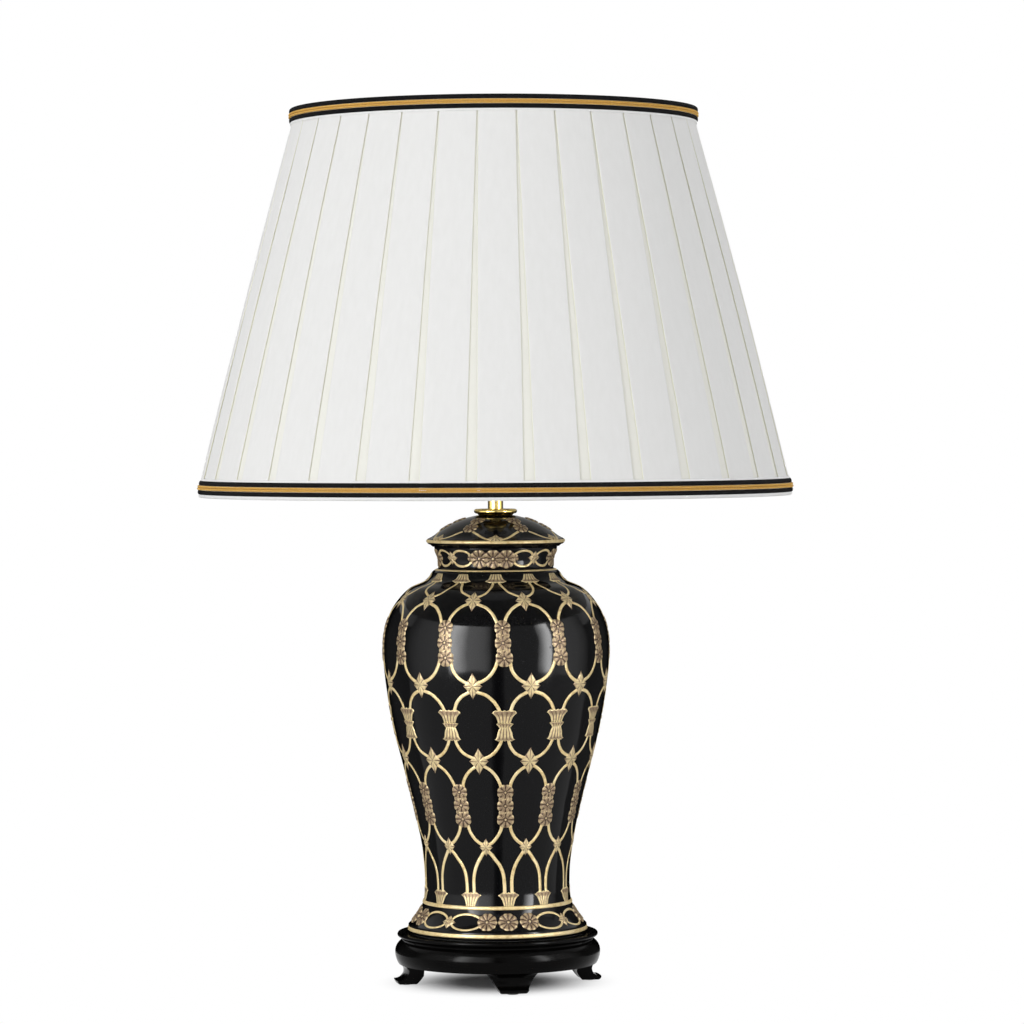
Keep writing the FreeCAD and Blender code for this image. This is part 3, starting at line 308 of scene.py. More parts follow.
def threaded(name, roughness, pitch, depth, noise, tones):
    """Bare metal with the turns of a thread on an upright axis."""
    finish = Finish(name, {"Metallic": 1.0, "Roughness": roughness})
    turns = finish.maths("SINE", finish.axis(finish.place, 2) * (math.tau / pitch))
    finish.feed({"Base Color": finish.tint(finish.noise(*noise), *tones)})
    finish.emboss(turns, depth)
    return finish


metal = {"Metallic": 1.0}
steel_tones = ((0.42, 0.42, 0.44), (0.62, 0.61, 0.6))
steel = mottled("zinced steel", metal, (420, 3), steel_tones, 0.00003, (0.28, 0.45), (0.2, 0.8))
dress(steel, "base_washer", "lock_washer", "base_nut")

rod_pitch = 0.00094
rod_tones = ((0.36, 0.35, 0.34), (0.6, 0.58, 0.54))
rod_steel = threaded("threaded steel", 0.38, rod_pitch, 0.0002, (260, 3), rod_tones)
dress(rod_steel, "centre_rod")

rubber_tones = ((0.012, 0.012, 0.012), (0.035, 0.034, 0.033))
rubber = mottled("black rubber", matt(0.7, 0.3), (600, 4), rubber_tones, 0.00005)
dress(rubber, "cord_bush", "jar_gasket")


# The jar and its lid: thrown porcelain with a thick black glaze, fired glossy. The glaze pools
# a little, so its shine waves softly, and it has a few pinholes.
glaze = Finish("black glaze", {"Specular IOR Level": 0.13})
pooling = glaze.noise(26, 2)
speckle = glaze.noise(900, 2)
cells = glaze.add("ShaderNodeTexVoronoi", {}, {"Vector": glaze.place, "Scale": 44.0})
pinhole = glaze.span(cells, 0.02, 0.034)
glaze.feed(
    {
        "Base Color": glaze.tint(speckle, (0.002, 0.002, 0.0023), (0.0045, 0.0045, 0.005)),
        "Roughness": glaze.span(pooling, 0.3, 0.7, 0.07, 0.12),
    }
)
glaze.emboss(pooling + pinhole * 0.25, 0.0005)
dress(glaze, "jar_lid")


def tenths(*pairs):
    """Pairs given in tenths of a millimetre, in metres."""
    return [(first / 10000, second / 10000) for first, second in pairs]


def smooth(points, steps):
    """More points, on a smooth curve through the given ones."""
    padded = [points[0], *points, points[-1]]
    curve = []
    for number in range(1, len(padded) - 2):
        for step in range(steps):
            share = step / steps
            place = []
            for a, b, c, d in zip(*padded[number - 1 : number + 3]):
                bend = (2 * a - 5 * b + 4 * c - d) * share**2 + (3 * b - a - 3 * c + d) * share**3
                place.append(b + ((c - a) * share + bend) / 2)
            curve.append(tuple(place))
    return [*curve, tuple(points[-1])]


# Up the outside in (radius, height) pairs: the flared foot, the waist, the straight flank, the
# belly and the shoulder, and then the hollow neck with its lip.
jar_body_points = tenths(
    (762, 506), (735, 530), (708, 560), (679, 600), (656, 640), (640, 680), (628, 722), (621, 762),
    (618, 812), (618, 880), (620, 950), (625, 1030), (634, 1120), (650, 1220), (669, 1320),
    (690, 1420), (712, 1520), (736, 1620), (762, 1720), (789, 1820), (815, 1920), (841, 2020),
    (865, 2120), (886, 2220), (905, 2320), (923, 2420), (939, 2520), (952, 2620), (961, 2720),
    (966, 2820), (965, 2910), (957, 2990), (943, 3060), (923, 3120), (899, 3178), (871, 3230),
    (841, 3273), (808, 3313), (770, 3352), (724, 3386), (672, 3409), (623, 3428), (587, 3451),
    (563, 3476), (550, 3499), (545, 3516),
)
jar_neck_points = tenths(
    (530, 3530), (501, 3537), (491, 3555), (486, 3583), (485, 3611), (490, 3641), (500, 3669),
    (512, 3694), (521, 3712), (525, 3722), (523, 3730), (514, 3735),
)
jar_inner_points = tenths(
    (456, 3494), (610, 3340), (755, 3300), (840, 3180), (895, 3050), (918, 2880), (904, 2620),
    (856, 2320), (788, 2020), (710, 1720), (640, 1420), (585, 1120), (568, 880), (575, 720),
    (608, 600), (640, 540),
)
jar_foot = tenths((57, 540), (57, 480), (660, 480), (660, 440), (752, 440), (759, 442))
jar_outside = [*tenths((762, 449)), *smooth(jar_body_points, 3), *smooth(jar_neck_points, 2)]
jar_lip = tenths((460, 3735), (456, 3731))
jar_outline = [*jar_outside, *jar_lip, *smooth(jar_inner_points, 2), *jar_foot]
glazed_jar = spun("glazed_jar", jar_outline, 144, closed=True, finish=glaze)
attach(glazed_jar, "lamp")
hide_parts("jar_body")


# The raised gilt trellis on the jar: slip lines trailed on the glaze and fired with gold, twelve
# columns round the jar, with stars where they cross and rosettes, lotus cups and double cups
# between. The whole net leans a little round the jar from the neck to the foot.


class Skin:
    """The outline of a turned piece, on which reliefs lie by compass angle and by the length
    along the outline from its start."""

    def __init__(self, outline):
        self.outline = []
        for number in range(len(outline)):
            near = outline[max(0, number - 1) : number + 2]
            self.outline.append([sum(pair[axis] for pair in near) / len(near) for axis in (0, 1)])
        self.lengths = [0.0]
        for low, high in zip(self.outline, self.outline[1:]):
            self.lengths.append(self.lengths[-1] + math.dist(low, high))

    def at(self, length):
        """The radius, height and slope of the outline at a length."""
        row = 1
        while row < len(self.lengths) - 1 and self.lengths[row] < length:
            row += 1
        low, high = self.outline[row - 1], self.outline[row]
        step = self.lengths[row] - self.lengths[row - 1]
        share = (length - self.lengths[row - 1]) / step
        radius, height = [low[axis] + (high[axis] - low[axis]) * share for axis in (0, 1)]
        return radius, height, ((high[0] - low[0]) / step, (high[1] - low[1]) / step)

    def length(self, height):
        """The length along the outline at which it has a height."""
        for row in range(1, len(self.outline)):
            low, high = self.outline[row - 1][1], self.outline[row][1]
            if low <= height <= high:
                step = self.lengths[row] - self.lengths[row - 1]
                return self.lengths[row - 1] + step * (height - low) / (high - low)
        return self.lengths[0] if height < self.outline[0][1] else self.lengths[-1]

    def point(self, degrees, length, lift=0.0):
        """A point over the skin, and the way the skin faces there."""
        radius, height, slope = self.at(length)
        angle = math.radians(degrees)
        out = Vector((math.sin(angle), -math.cos(angle), 0))
        facing = out * slope[1] - Vector((0, 0, slope[0]))
        return out * radius + Vector((0, 0, height)) + facing * lift, facing


def dome_of(node, centre, low, high, step):
    """The outer skin of a domed solid, met by rays towards a point on its axis, from a low angle
    up to a high one."""
    tree = BVHTree.FromObject(nodes[node], bpy.context.evaluated_depsgraph_get())
    outline = []
    for number in range(round((high - low) / step) + 1):
        angle = math.radians(low + step * number)
        way = Vector((0, -math.cos(angle), math.sin(angle)))
        hit = tree.ray_cast(Vector((0, 0, centre)) + way * 0.3, -way)[0]
        if hit is not None:
            outline.append((-hit.y, hit.z))
    return Skin(outline)


def mark(piece, name, values, kind="FLOAT", field="value"):
    """Keeps a value for each point of a piece, under a name."""
    piece.data.attributes.new(name, kind, "POINT").data.foreach_set(field, values)


class Relief:
    """Raised motifs that lie on a skin, gathered into one mesh. Each point keeps a tone that colours it,
    mostly following how high it stands: low grooves and clefts are painted dark as shade, raised tops
    pale as highlights."""

    def __init__(self, skin):
        self.skin = skin
        self.points = []
        self.faces = []
        self.shading_tones = []

    def lay(self, degrees, length, shape, upside=1):
        """Lays a flat motif (across, along, lift, tone) with its middle at a place on the skin."""
        points, faces = shape
        start = len(self.points)
        for across, along, lift, tone in points:
            place = length + along * upside
            radius = self.skin.at(place)[0]
            turn = math.degrees(across * upside / radius)
            self.points.append(self.skin.point(degrees + turn, place, lift)[0])
            self.shading_tones.append(tone)
        self.faces += [tuple(start + corner for corner in face) for face in faces]

    def gild(self, name, count):
        """Repeats the motifs round the lamp's axis, in fired gold."""
        piece = piece_of(name, self.points, self.faces)
        mark(piece, "relief", self.shading_tones)
        rings_of.make(piece, {"Count": count, "Turn": 0.0, "Finish": gilding.material})
        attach(piece, "lamp")


def spoked(rings, steps):
    """Faces of a shape whose points are its middle and then rings of as many points."""
    faces = []
    for step in range(steps):
        after = (step + 1) % steps
        faces.append((0, 1 + after, 1 + step))
        for ring in range(rings - 1):
            low, high = 1 + ring * steps, 1 + (ring + 1) * steps
            faces.append((low + step, low + after, high + after, high + step))
    return faces


def star(wide, tall, rise):
    """A four-pointed star: a ridge down each arm, a groove beside it and flat facets between."""
    # Each place is (turn, lift, tone): where the star sits low it is painted dark as shade, and where it
    # stands high it is painted pale as highlight. The rim takes a middle tone.
    quarter = ((0.0, 0.7, 0.02), (0.09, 1.0, 0.95), (0.42, 0.9, 0.8))
    quarter += ((0.5, 0.6, 0.08), (0.58, 0.9, 0.9), (0.91, 1.0, 0.8))
    points = [(0.0, 0.0, rise, 0.5)]
    for share, fall in ((0.16, 1.0), (0.6, 0.75), (0.92, 0.4), (1.0, 0.15), (1.04, -0.3)):
        for number in range(4):
            for turn, lift, tone in quarter:
                near = min(turn, 1 - turn) * 2
                inward = share * (1 - 0.06 * math.sin(math.pi * near) - 0.1 * near)
                along, across = (1 - near * 0.5) * inward, near * 0.5 * inward
                if turn > 0.5:
                    along, across = across, along
                for _ in range(number):
                    along, across = -across, along
                edge = 0.45 if share > 0.95 else tone
                height = rise * (fall * lift if fall > 0 else fall)
                points.append((across * wide / 2, along * tall / 2, height, edge))
    return points, spoked(5, len(quarter) * 4)


def rosette(radius, petals, rise):
    """A round flower: scalloped petals with clefts between, about a button in a sunk ring. The clefts and
    the ring are painted dark as shade, and the raised petals and button pale as highlights.
    """
    steps = petals * 6
    veins = (0.0, 0.3, 0.95, 0.6, 0.95, 0.3)
    button, middle = ((0.09, 1.0), (0.18, 0.4)), ((0.32, 0.75), (0.52, 1.0), (0.76, 0.85))
    rings = (*button, *middle, (0.93, 0.65), (1.0, 0.2), (1.03, -0.3))
    points = [(0.0, 0.0, rise, 1.0)]
    for reach, high in rings:
        for step in range(steps):
            angle = math.tau * step / steps
            vein = veins[step % 6]
            petal = math.sin(math.pi * (step % 6) / 6)
            edge = radius * reach * (1 - 0.06 * reach * (1 - petal))
            lift = rise * high * (0.45 + 0.55 * vein if 0.2 < reach < 0.95 else 1)
            if reach < 0.12:
                tone = 0.75
            elif reach < 0.2:
                tone = 0.0
            elif reach > 0.9:
                tone = 0.08 + 0.75 * petal
            else:
                tone = 0.9 * vein * (0.5 + 0.5 * reach)
            points.append((edge * math.sin(angle), edge * math.cos(angle), lift, tone))
    return points, spoked(len(rings), steps)


def lotus(width, tall, sides, rise):
    """A fluted cup. Its sides are pairs of (share of its height, share of its half width), with
    the horns at its lip where the second is 1."""
    wide = 20
    points = []
    horn = max(up for up, half in sides if half == 1.0)
    for row, (up, half) in enumerate(sides):
        for column in range(wide + 1):
            side = column / wide * 2 - 1
            flute = 1.0 if abs(abs(side) - 0.2) < 0.06 or abs(abs(side) - 0.6) < 0.06 else 0.0
            scallop = 0.07 * math.sin(abs(side) * math.pi * 2.5) ** 2 * max(0.0, up - 0.5) * 2
            border = row in (0, len(sides) - 1) or column in (0, wide)
            lift = -0.0003 if border else rise * (1 - 0.5 * flute) * (0.6 + 0.4 * (1 - side**2))
            # The flutes sit lower and are painted darker as shade; near the lip the cup is a darker tone,
            # and its border is pale.
            tone = 0.9 - 0.8 * flute
            if up >= horn - 0.2:
                tone = 0.52 - 0.3 * flute
            if border or column in (1, wide - 1) or row == len(sides) - 2:
                tone = 0.95
            points.append((side * half * width / 2, tall * (up - scallop), lift, tone))
    return points, [(a, d, c, b) for a, b, c, d in grid(len(sides), wide + 1)]


gilding = Finish("gilt relief", {"Metallic": 0.2, "Specular IOR Level": 0.25})
firing = gilding.noise(520, 3)
gilding_tones = (
    (0.0, (0.022, 0.010, 0.005)),
    (0.4, (0.21, 0.14, 0.084)),
    (0.7, (0.43, 0.325, 0.185)),
    (1.0, (0.76, 0.62, 0.33)),
)
# The gilt is darkest in the low grooves and clefts and palest on the raised tops, as painted shade and
# highlight, varied by a random firing noise.
relief_shading_colour = gilding.ramp(gilding.marked("relief") + firing * 0.5 - 0.25, gilding_tones)
gilding.feed({"Base Color": relief_shading_colour, "Roughness": gilding.span(firing, 0.3, 0.7, 0.3, 0.46)})
gilding.emboss(firing, 0.00012)

jar_skin = Skin(jar_outside)
trellis = Relief(jar_skin)
cup_rise = 0.0006
flower_rise = 0.0009

tulip_foot = ((0.0, 0.46), (0.2, 0.5), (0.42, 0.6), (0.6, 0.72), (0.72, 0.86))
tulip = (*tulip_foot, (0.8, 1.0), (0.86, 0.86), (0.94, 0.7), (1.0, 0.62))
bell_foot = ((0.0, 0.5), (0.25, 0.55), (0.5, 0.66), (0.7, 0.83))
bell = (*bell_foot, (0.82, 1.0), (0.9, 0.93), (0.96, 0.88), (1.0, 0.8))
waisted_foot = ((0.0, 0.43), (0.25, 0.6), (0.45, 0.72), (0.7, 0.78), (0.85, 0.86))
waisted = (*waisted_foot, (0.91, 1.0), (0.96, 0.84), (1.0, 0.7))
frill = ((0.0, 0.56), (0.4, 0.72), (0.8, 0.92), (0.9, 1.0), (0.96, 0.9), (1.0, 0.8))
for degrees, height, cup, upside in (
    (0.0, 0.3522, lotus(0.0190, 0.0112, tulip, cup_rise), -1),
    (8.9, 0.0710, lotus(0.0188, 0.0130, tulip, cup_rise), 1),
    (4.2, 0.2270, lotus(0.0220, 0.0124, bell, cup_rise), 1),
    (4.5, 0.2258, lotus(0.0177, 0.0137, waisted, cup_rise), -1),
    (4.4, 0.2232, lotus(0.0152, 0.0050, frill, cup_rise * 1.5), 1),
):
    trellis.lay(degrees, jar_skin.length(height), cup, upside)
for degrees, height, wide, tall in (
    (-13.45, 0.3299, 0.0146, 0.0210),
    (-12.1, 0.2592, 0.0164, 0.0222),
    (-10.5, 0.1955, 0.0164, 0.0235),
    (-8.3, 0.1218, 0.0114, 0.0152),
):
    trellis.lay(degrees, jar_skin.length(height), star(wide, tall, flower_rise))
for degrees, height, radius in (
    (3.2, 0.3078, 0.0068),
    (3.4, 0.2953, 0.0070),
    (4.0, 0.2826, 0.0074),
    (5.4, 0.1690, 0.0069),
    (5.6, 0.1574, 0.0070),
    (5.9, 0.1456, 0.0073),
):
    trellis.lay(degrees, jar_skin.length(height), rosette(radius, 8, flower_rise))
for degrees, height in ((3.3, 0.3016), (3.7, 0.2889), (5.5, 0.1632), (5.75, 0.1515)):
    trellis.lay(degrees, jar_skin.length(height), rosette(0.0056, 6, cup_rise))
trellis.gild("trellis_motifs", 12)

# Lines of the trellis, from motif to motif in one column: runs of (tenths of a degree, tenths of a
# millimetre up).
net_tenths = (
    ((20, 3452), (34, 3425), (70, 3378), (105, 3353), (146, 3330)),
    ((-20, 3450), (-32, 3405), (-56, 3368), (-86, 3342), (-116, 3328)),
    ((-116, 3276), (-86, 3262), (-52, 3240), (-19, 3190), (0, 3135), (6, 3105)),
    ((-154, 3276), (-186, 3258), (-219, 3222), (-248, 3160), (-254, 3105)),
    ((6, 2800), (-6, 2745), (-30, 2684), (-62, 2642), (-100, 2615)),
    ((69, 2790), (79, 2722), (102, 2668), (130, 2632), (158, 2612)),
    ((-114, 2548), (-90, 2538), (-53, 2516), (-16, 2466), (9, 2408), (17, 2372)),
    ((-128, 2548), (-150, 2532), (-182, 2502), (-210, 2449), (-225, 2385), (-227, 2372)),
    ((28, 2138), (16, 2092), (-10, 2036), (-44, 1997), (-82, 1975)),
    ((65, 2138), (76, 2085), (100, 2033), (132, 2001), (172, 1978)),
    ((-86, 1918), (-63, 1904), (-32, 1872), (-2, 1822), (20, 1760), (27, 1722)),
    ((-122, 1910), (-152, 1886), (-186, 1838), (-210, 1777), (-217, 1722)),
    ((35, 1415), (26, 1365), (3, 1312), (-32, 1262), (-64, 1238)),
    ((90, 1415), (104, 1350), (134, 1292), (166, 1258), (198, 1238)),
    ((-72, 1188), (-46, 1160), (-12, 1110), (20, 1062), (46, 990), (56, 900), (58, 820)),
    ((-94, 1188), (-118, 1146), (-148, 1090), (-172, 1025), (-186, 940), (-184, 820)),
)
net_runs = [[(turn / 10, height / 10000) for turn, height in run] for run in net_tenths]
net_widths = [0.0021] * 2 + [0.0027] * 2 + [0.0029] * 4 + [0.0027] * 6 + [0.0029] * 2

beads = Recipe("raised lines on a skin")
bead_flat = beads.ask("Rise for each width")
bead_line = beads.add("GeometryNodeMeshToCurve", {}, {"Mesh": beads.start})
named_value = "GeometryNodeInputNamedAttribute"
bead_facing = beads.add(named_value, {"data_type": "FLOAT_VECTOR"}, {"Name": "facing"})
bead_width = beads.add(named_value, {"data_type": "FLOAT"}, {"Name": "width"})
bead_sockets = {"Curve": bead_line, "Normal": bead_facing}
bead_line = beads.add("GeometryNodeSetCurveNormal", {"mode": "FREE"}, bead_sockets)
bead_round = beads.add("GeometryNodeCurvePrimitiveCircle", {}, {"Resolution": 8, "Radius": 1.0})
bead_scale = beads.add("ShaderNodeCombineXYZ", {}, {"X": bead_flat, "Y": 0.5, "Z": 1.0})
bead_round = beads.add("GeometryNodeTransform", {}, {"Geometry": bead_round, "Scale": bead_scale})
bead_sockets = {"Curve": bead_line, "Profile Curve": bead_round, "Scale": bead_width, "Fill Caps": True}
beads.deliver(beads.copies(beads.add("GeometryNodeCurveToMesh", {}, bead_sockets)))

gilt = Finish("gilt line", {"Metallic": 0.15, "Specular IOR Level": 0.25})
thick = gilt.noise(300, 2)
patch = gilt.noise(60, 2)
gilt_tone = gilt.tint(gilt.span(thick, 0.25, 0.6), (0.64, 0.46, 0.20), (0.82, 0.65, 0.33))
gilt.feed(
    {
        "Base Color": gilt.tint(gilt.span(patch, 0.45, 0.75), gilt_tone, (0.88, 0.72, 0.41)),
        "Roughness": gilt.span(thick, 0.3, 0.7, 0.3, 0.42),
    }
)
gilt.emboss(thick, 0.00006)


def trailed(name, skin, runs, widths, count):
    """Smooth raised lines through runs of places on a skin, repeated round the lamp's axis."""
    points, edges, facings, breadths = [], [], [], []
    for run, width in zip(runs, widths):
        first = len(points)
        for place in smooth([(degrees, skin.length(height)) for degrees, height in run], 7):
            point, facing = skin.point(*place)
            points.append(point)
            facings.extend(facing)
        breadths += [width] * (len(points) - first)
        edges += [(number, number + 1) for number in range(first, len(points) - 1)]
    piece = piece_of(name, points, [], edges)
    mark(piece, "facing", facings, "FLOAT_VECTOR", "vector")
    mark(piece, "width", breadths)
    values = {"Rise for each width": 0.1, "Count": count, "Turn": 0.0, "Finish": gilt.material}
    beads.make(piece, values)
    piece.data.shade_smooth()
    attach(piece, "lamp")


trailed("trellis_lines", jar_skin, net_runs, net_widths, 12)


# Bands at the foot and the neck: three rosettes, oval loops and small stars, four times round,
# between plain gilt lines. They are slip too, trailed and fired with the trellis.
bands = Relief(jar_skin)
foot_flower, neck_flower = rosette(0.0084, 10, 0.0013), rosette(0.0082, 9, 0.0013)
for degrees, height, motif in (
    *[(turn, 0.0588, foot_flower) for turn in (-7.3, 7.6, 23.0)],
    (53.7, 0.0580, star(0.0135, 0.0130, 0.0012)),
    (53.7, 0.0580, rosette(0.0034, 5, 0.0017)),
    *[(turn, 0.3640, neck_flower) for turn in (-16.3, -2.6, 10.4)],
    *[(turn, 0.3645, rosette(0.0036, 5, 0.0009)) for turn in (-24.6, 18.8)],
    (41.2, 0.3645, star(0.0125, 0.0125, 0.0012)),
    (41.2, 0.3645, rosette(0.0032, 5, 0.0017)),
):
    bands.lay(degrees, jar_skin.length(height), motif)
bands.gild("band_motifs", 4)
band_runs = []
turns = [math.tau * step / 12 for step in range(13)]
for middle, wide, height, tall in (
    (40.2, 11.6, 0.0588, 0.0062),
    (67.2, 11.6, 0.0588, 0.0062),
    (28.4, 11.5, 0.3640, 0.0066),
    (54.4, 11.5, 0.3640, 0.0066),
):
    band_runs.append([(middle + wide * math.cos(turn), height + tall * math.sin(turn)) for turn in turns])
trailed("band_loops", jar_skin, band_runs, [0.0020] * 4, 4)


def gilt_ring(name, skin, length, width, rise):
    """A plain gilt line round the jar or lid."""
    outline = []
    for number in range(12):
        angle = math.tau * number / 12
        radius, height, slope = skin.at(length + math.sin(angle) * width / 2)
        lift = math.cos(angle) * rise
        outline.append((radius + slope[1] * lift, height - slope[0] * lift))
    ring = spun(name, outline, 192, closed=True, finish=gilt)
    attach(ring, "lamp")


gilt_ring("foot_line", jar_skin, jar_skin.length(0.0478), 0.0036, 0.0006)
gilt_ring("foot_upper_line", jar_skin, jar_skin.length(0.0702), 0.0032, 0.0007)
gilt_ring("neck_line", jar_skin, jar_skin.length(0.3535), 0.0028, 0.0006)

lid_skin = dome_of("jar_lid", 0.374, 2.0, 82.0, 0.4)


def lid_length(height):
    """The length along the lid's skin to its measured point nearest a height."""
    rows = range(len(lid_skin.outline))
    return lid_skin.lengths[min(rows, key=lambda row: abs(lid_skin.outline[row][1] - height))]


lid_flowers = Relief(lid_skin)
for height, radius in ((0.3898, 0.0066), (0.3955, 0.0064)):
    lid_flowers.lay(30.0, lid_length(height), rosette(radius, 8, 0.0011))
lid_flowers.lay(0.0, lid_length(0.3810), star(0.0146, 0.0120, 0.0011))
lid_flowers.gild("lid_motifs", 6)
lid_run = ((6.0, 0.3868), (12.0, 0.3846), (17.0, 0.3824), (23.0, 0.3806), (26.5, 0.3800))
lid_runs = [[(30 + side * turn, height) for turn, height in lid_run] for side in (1, -1)]
trailed("lid_lines", lid_skin, lid_runs, [0.0022] * 2, 6)
gilt_ring("lid_line", lid_skin, lid_length(0.3781), 0.0028, 0.0006)


# The brass of the neck, harp, lampholder, spider and finial: spun or drawn, polished bright and
# lacquered. Turning leaves faint rings, and the lacquer has tiny scratches.
brass = Finish("polished brass", {"Metallic": 1.0, "Coat Roughness": 0.1})
haze = brass.noise(38, 3)
turning = brass.noise(260, 2, brass.stretched((0.06, 0.06, 8)))
scratch = brass.noise(900, 2)
brass.feed(
    {
        "Base Color": brass.tint(haze, (0.74, 0.52, 0.14), (0.86, 0.66, 0.24)),
        "Roughness": brass.span(scratch, 0.35, 0.75, 0.1, 0.24),
    }
)
brass.emboss(turning + scratch * 0.3, 0.00002)
dress(brass, "vase_cap", "neck_sleeve", "harp_saddle", "harp", "ferrule_left", "ferrule_right")
dress(brass, "socket_cap", "socket_shell", "centre_contact", "terminal_screws")
dress(brass, "spider_hub", "spider_arms", "finial")
dress(steel, "key_shaft")


# Inside the lampholder: a fibre-board liner, a moulded insulating body and a nickelled screw
# shell. The key's paddle is a black moulding.
board = Finish("fibre board", matt(0.85, 0.2))
pulp = board.noise(500, 5, board.stretched((1, 1, 0.2)))
board.feed({"Base Color": board.tint(pulp, (0.30, 0.22, 0.14), (0.50, 0.40, 0.28))})
board.emboss(pulp, 0.0001)
dress(board, "socket_liner")

black_tones = ((0.012, 0.010, 0.009), (0.03, 0.026, 0.023))
satin = {"Specular IOR Level": 0.45}
moulding = mottled("black moulding", satin, (500, 4), black_tones, 0.00004, (0.25, 0.4))
dress(moulding, "socket_body", "switch_key", "bulb_insulator")

nickel_tones = ((0.55, 0.53, 0.49), (0.72, 0.70, 0.66))
nickel = mottled("nickel plate", metal, (300, 3), nickel_tones, 0.00002, (0.15, 0.3))
dress(nickel, "screw_shell")


# The bulb: a pear-shaped glass with an opal coating inside, an aluminium cap rolled with its
# thread, and a soldered centre contact.
opal_tones = ((0.86, 0.86, 0.83), (0.93, 0.93, 0.91))
glassy = {"Specular IOR Level": 0.5, "Coat Weight": 0.5, "Coat Roughness": 0.05}
opal = mottled("opal glass", glassy, (120, 4), opal_tones, 0.00002, (0.25, 0.4))
dress(opal, "bulb_glass")

cap_pitch = 0.0036
cap_tones = ((0.62, 0.62, 0.63), (0.80, 0.80, 0.80))
cap_metal = threaded("bulb cap metal", 0.32, cap_pitch, 0.0008, (300, 3), cap_tones)
dress(cap_metal, "bulb_cap")

solder_tones = ((0.42, 0.42, 0.42), (0.66, 0.66, 0.66))
solder = mottled("solder", metal, (700, 3), solder_tones, 0.0002, (0.35, 0.55))
dress(solder, "bulb_contact")


# The shade's frame: two hoops and eight struts of steel wire, welded where they meet and dipped
# in white enamel.
enamel_tones = ((0.78, 0.78, 0.75), (0.86, 0.86, 0.84))
enamel_shine = {"Specular IOR Level": 0.5}
enamel = mottled("white enamel", enamel_shine, (350, 3), enamel_tones, 0.0001, (0.3, 0.45))
dress(enamel, "top_ring", "bottom_ring", "frame_struts")


# The shade's cloth cover: a straight strip of off-white cotton, laid in 34 box pleats, stretched
# over the frame and sewn to both hoops. Each pleat folds back under its panel's two edges.


def weave(finish, pitch, depth):
    """Threads that cross at right angles, by the cloth's own map in metres."""
    chart = finish.add("ShaderNodeUVMap", {"uv_map": "cloth"})
    across, along = finish.axis(chart, 0), finish.axis(chart, 1)
    warp = finish.maths("SINE", across * (math.tau / pitch))
    weft = finish.maths("SINE", along * (math.tau / pitch))
    over = finish.maths("SINE", (across + along) * (math.pi / pitch))
    slub = finish.noise(240, 3, finish.stretched((1, 1, 0.15)))
    finish.emboss(warp * weft * 0.4 + over * 0.3 + slub * 1.5, depth)
    return slub


def chart_of(piece, chart):
    """Gives a cloth its map, with a place for each of its points."""
    layer = piece.data.uv_layers.new(name="cloth")
    for corner in piece.data.loops:
        layer.data[corner.index].uv = chart[corner.vertex_index]


def thicken(piece, thickness):
    """Gives a sheet its thickness, half of it to each side."""
    modifier = piece.modifiers.new("cloth", "SOLIDIFY")
    modifier.thickness = thickness
    modifier.offset = 0.0
    settle(piece)


cotton = Finish("off-white cotton", matt(0.9, 0.04))
cotton_slub = weave(cotton, 0.0005, 0.0001)
cotton_face = cotton.tint(cotton_slub, (0.82, 0.82, 0.80), (0.87, 0.87, 0.855))
# Where the cloth lies folded under its panels, a lighter cream paints a warm glow of light in the folds.
cotton.feed({"Base Color": cotton.tint(cotton.marked("fold_glow"), cotton_face, (0.95, 0.94, 0.76))})

# Levels of the cover: (height, radius, width of a recess, width of the fold beside it).
cover_low, cover_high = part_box("shade_cover")
cover_foot, cover_top = 0.2525, 0.1730
foot_collar, top_collar = 0.008, 0.0146
levels = [
    (cover_low.z, cover_foot, 0.0090, 0.0060),
    (cover_low.z + foot_collar, cover_foot, 0.0090, 0.0060),
    (cover_high.z - top_collar, cover_top, 0.0010, 0.0096),
    (cover_high.z, cover_top, 0.0010, 0.0096),
]
cloth_rows = []
for (low, high), rows in zip(zip(levels, levels[1:]), (3, 18, 4)):
    cloth_rows += [[a + (b - a) * row / rows for a, b in zip(low, high)] for row in range(rows)]
cloth_rows.append(levels[-1])

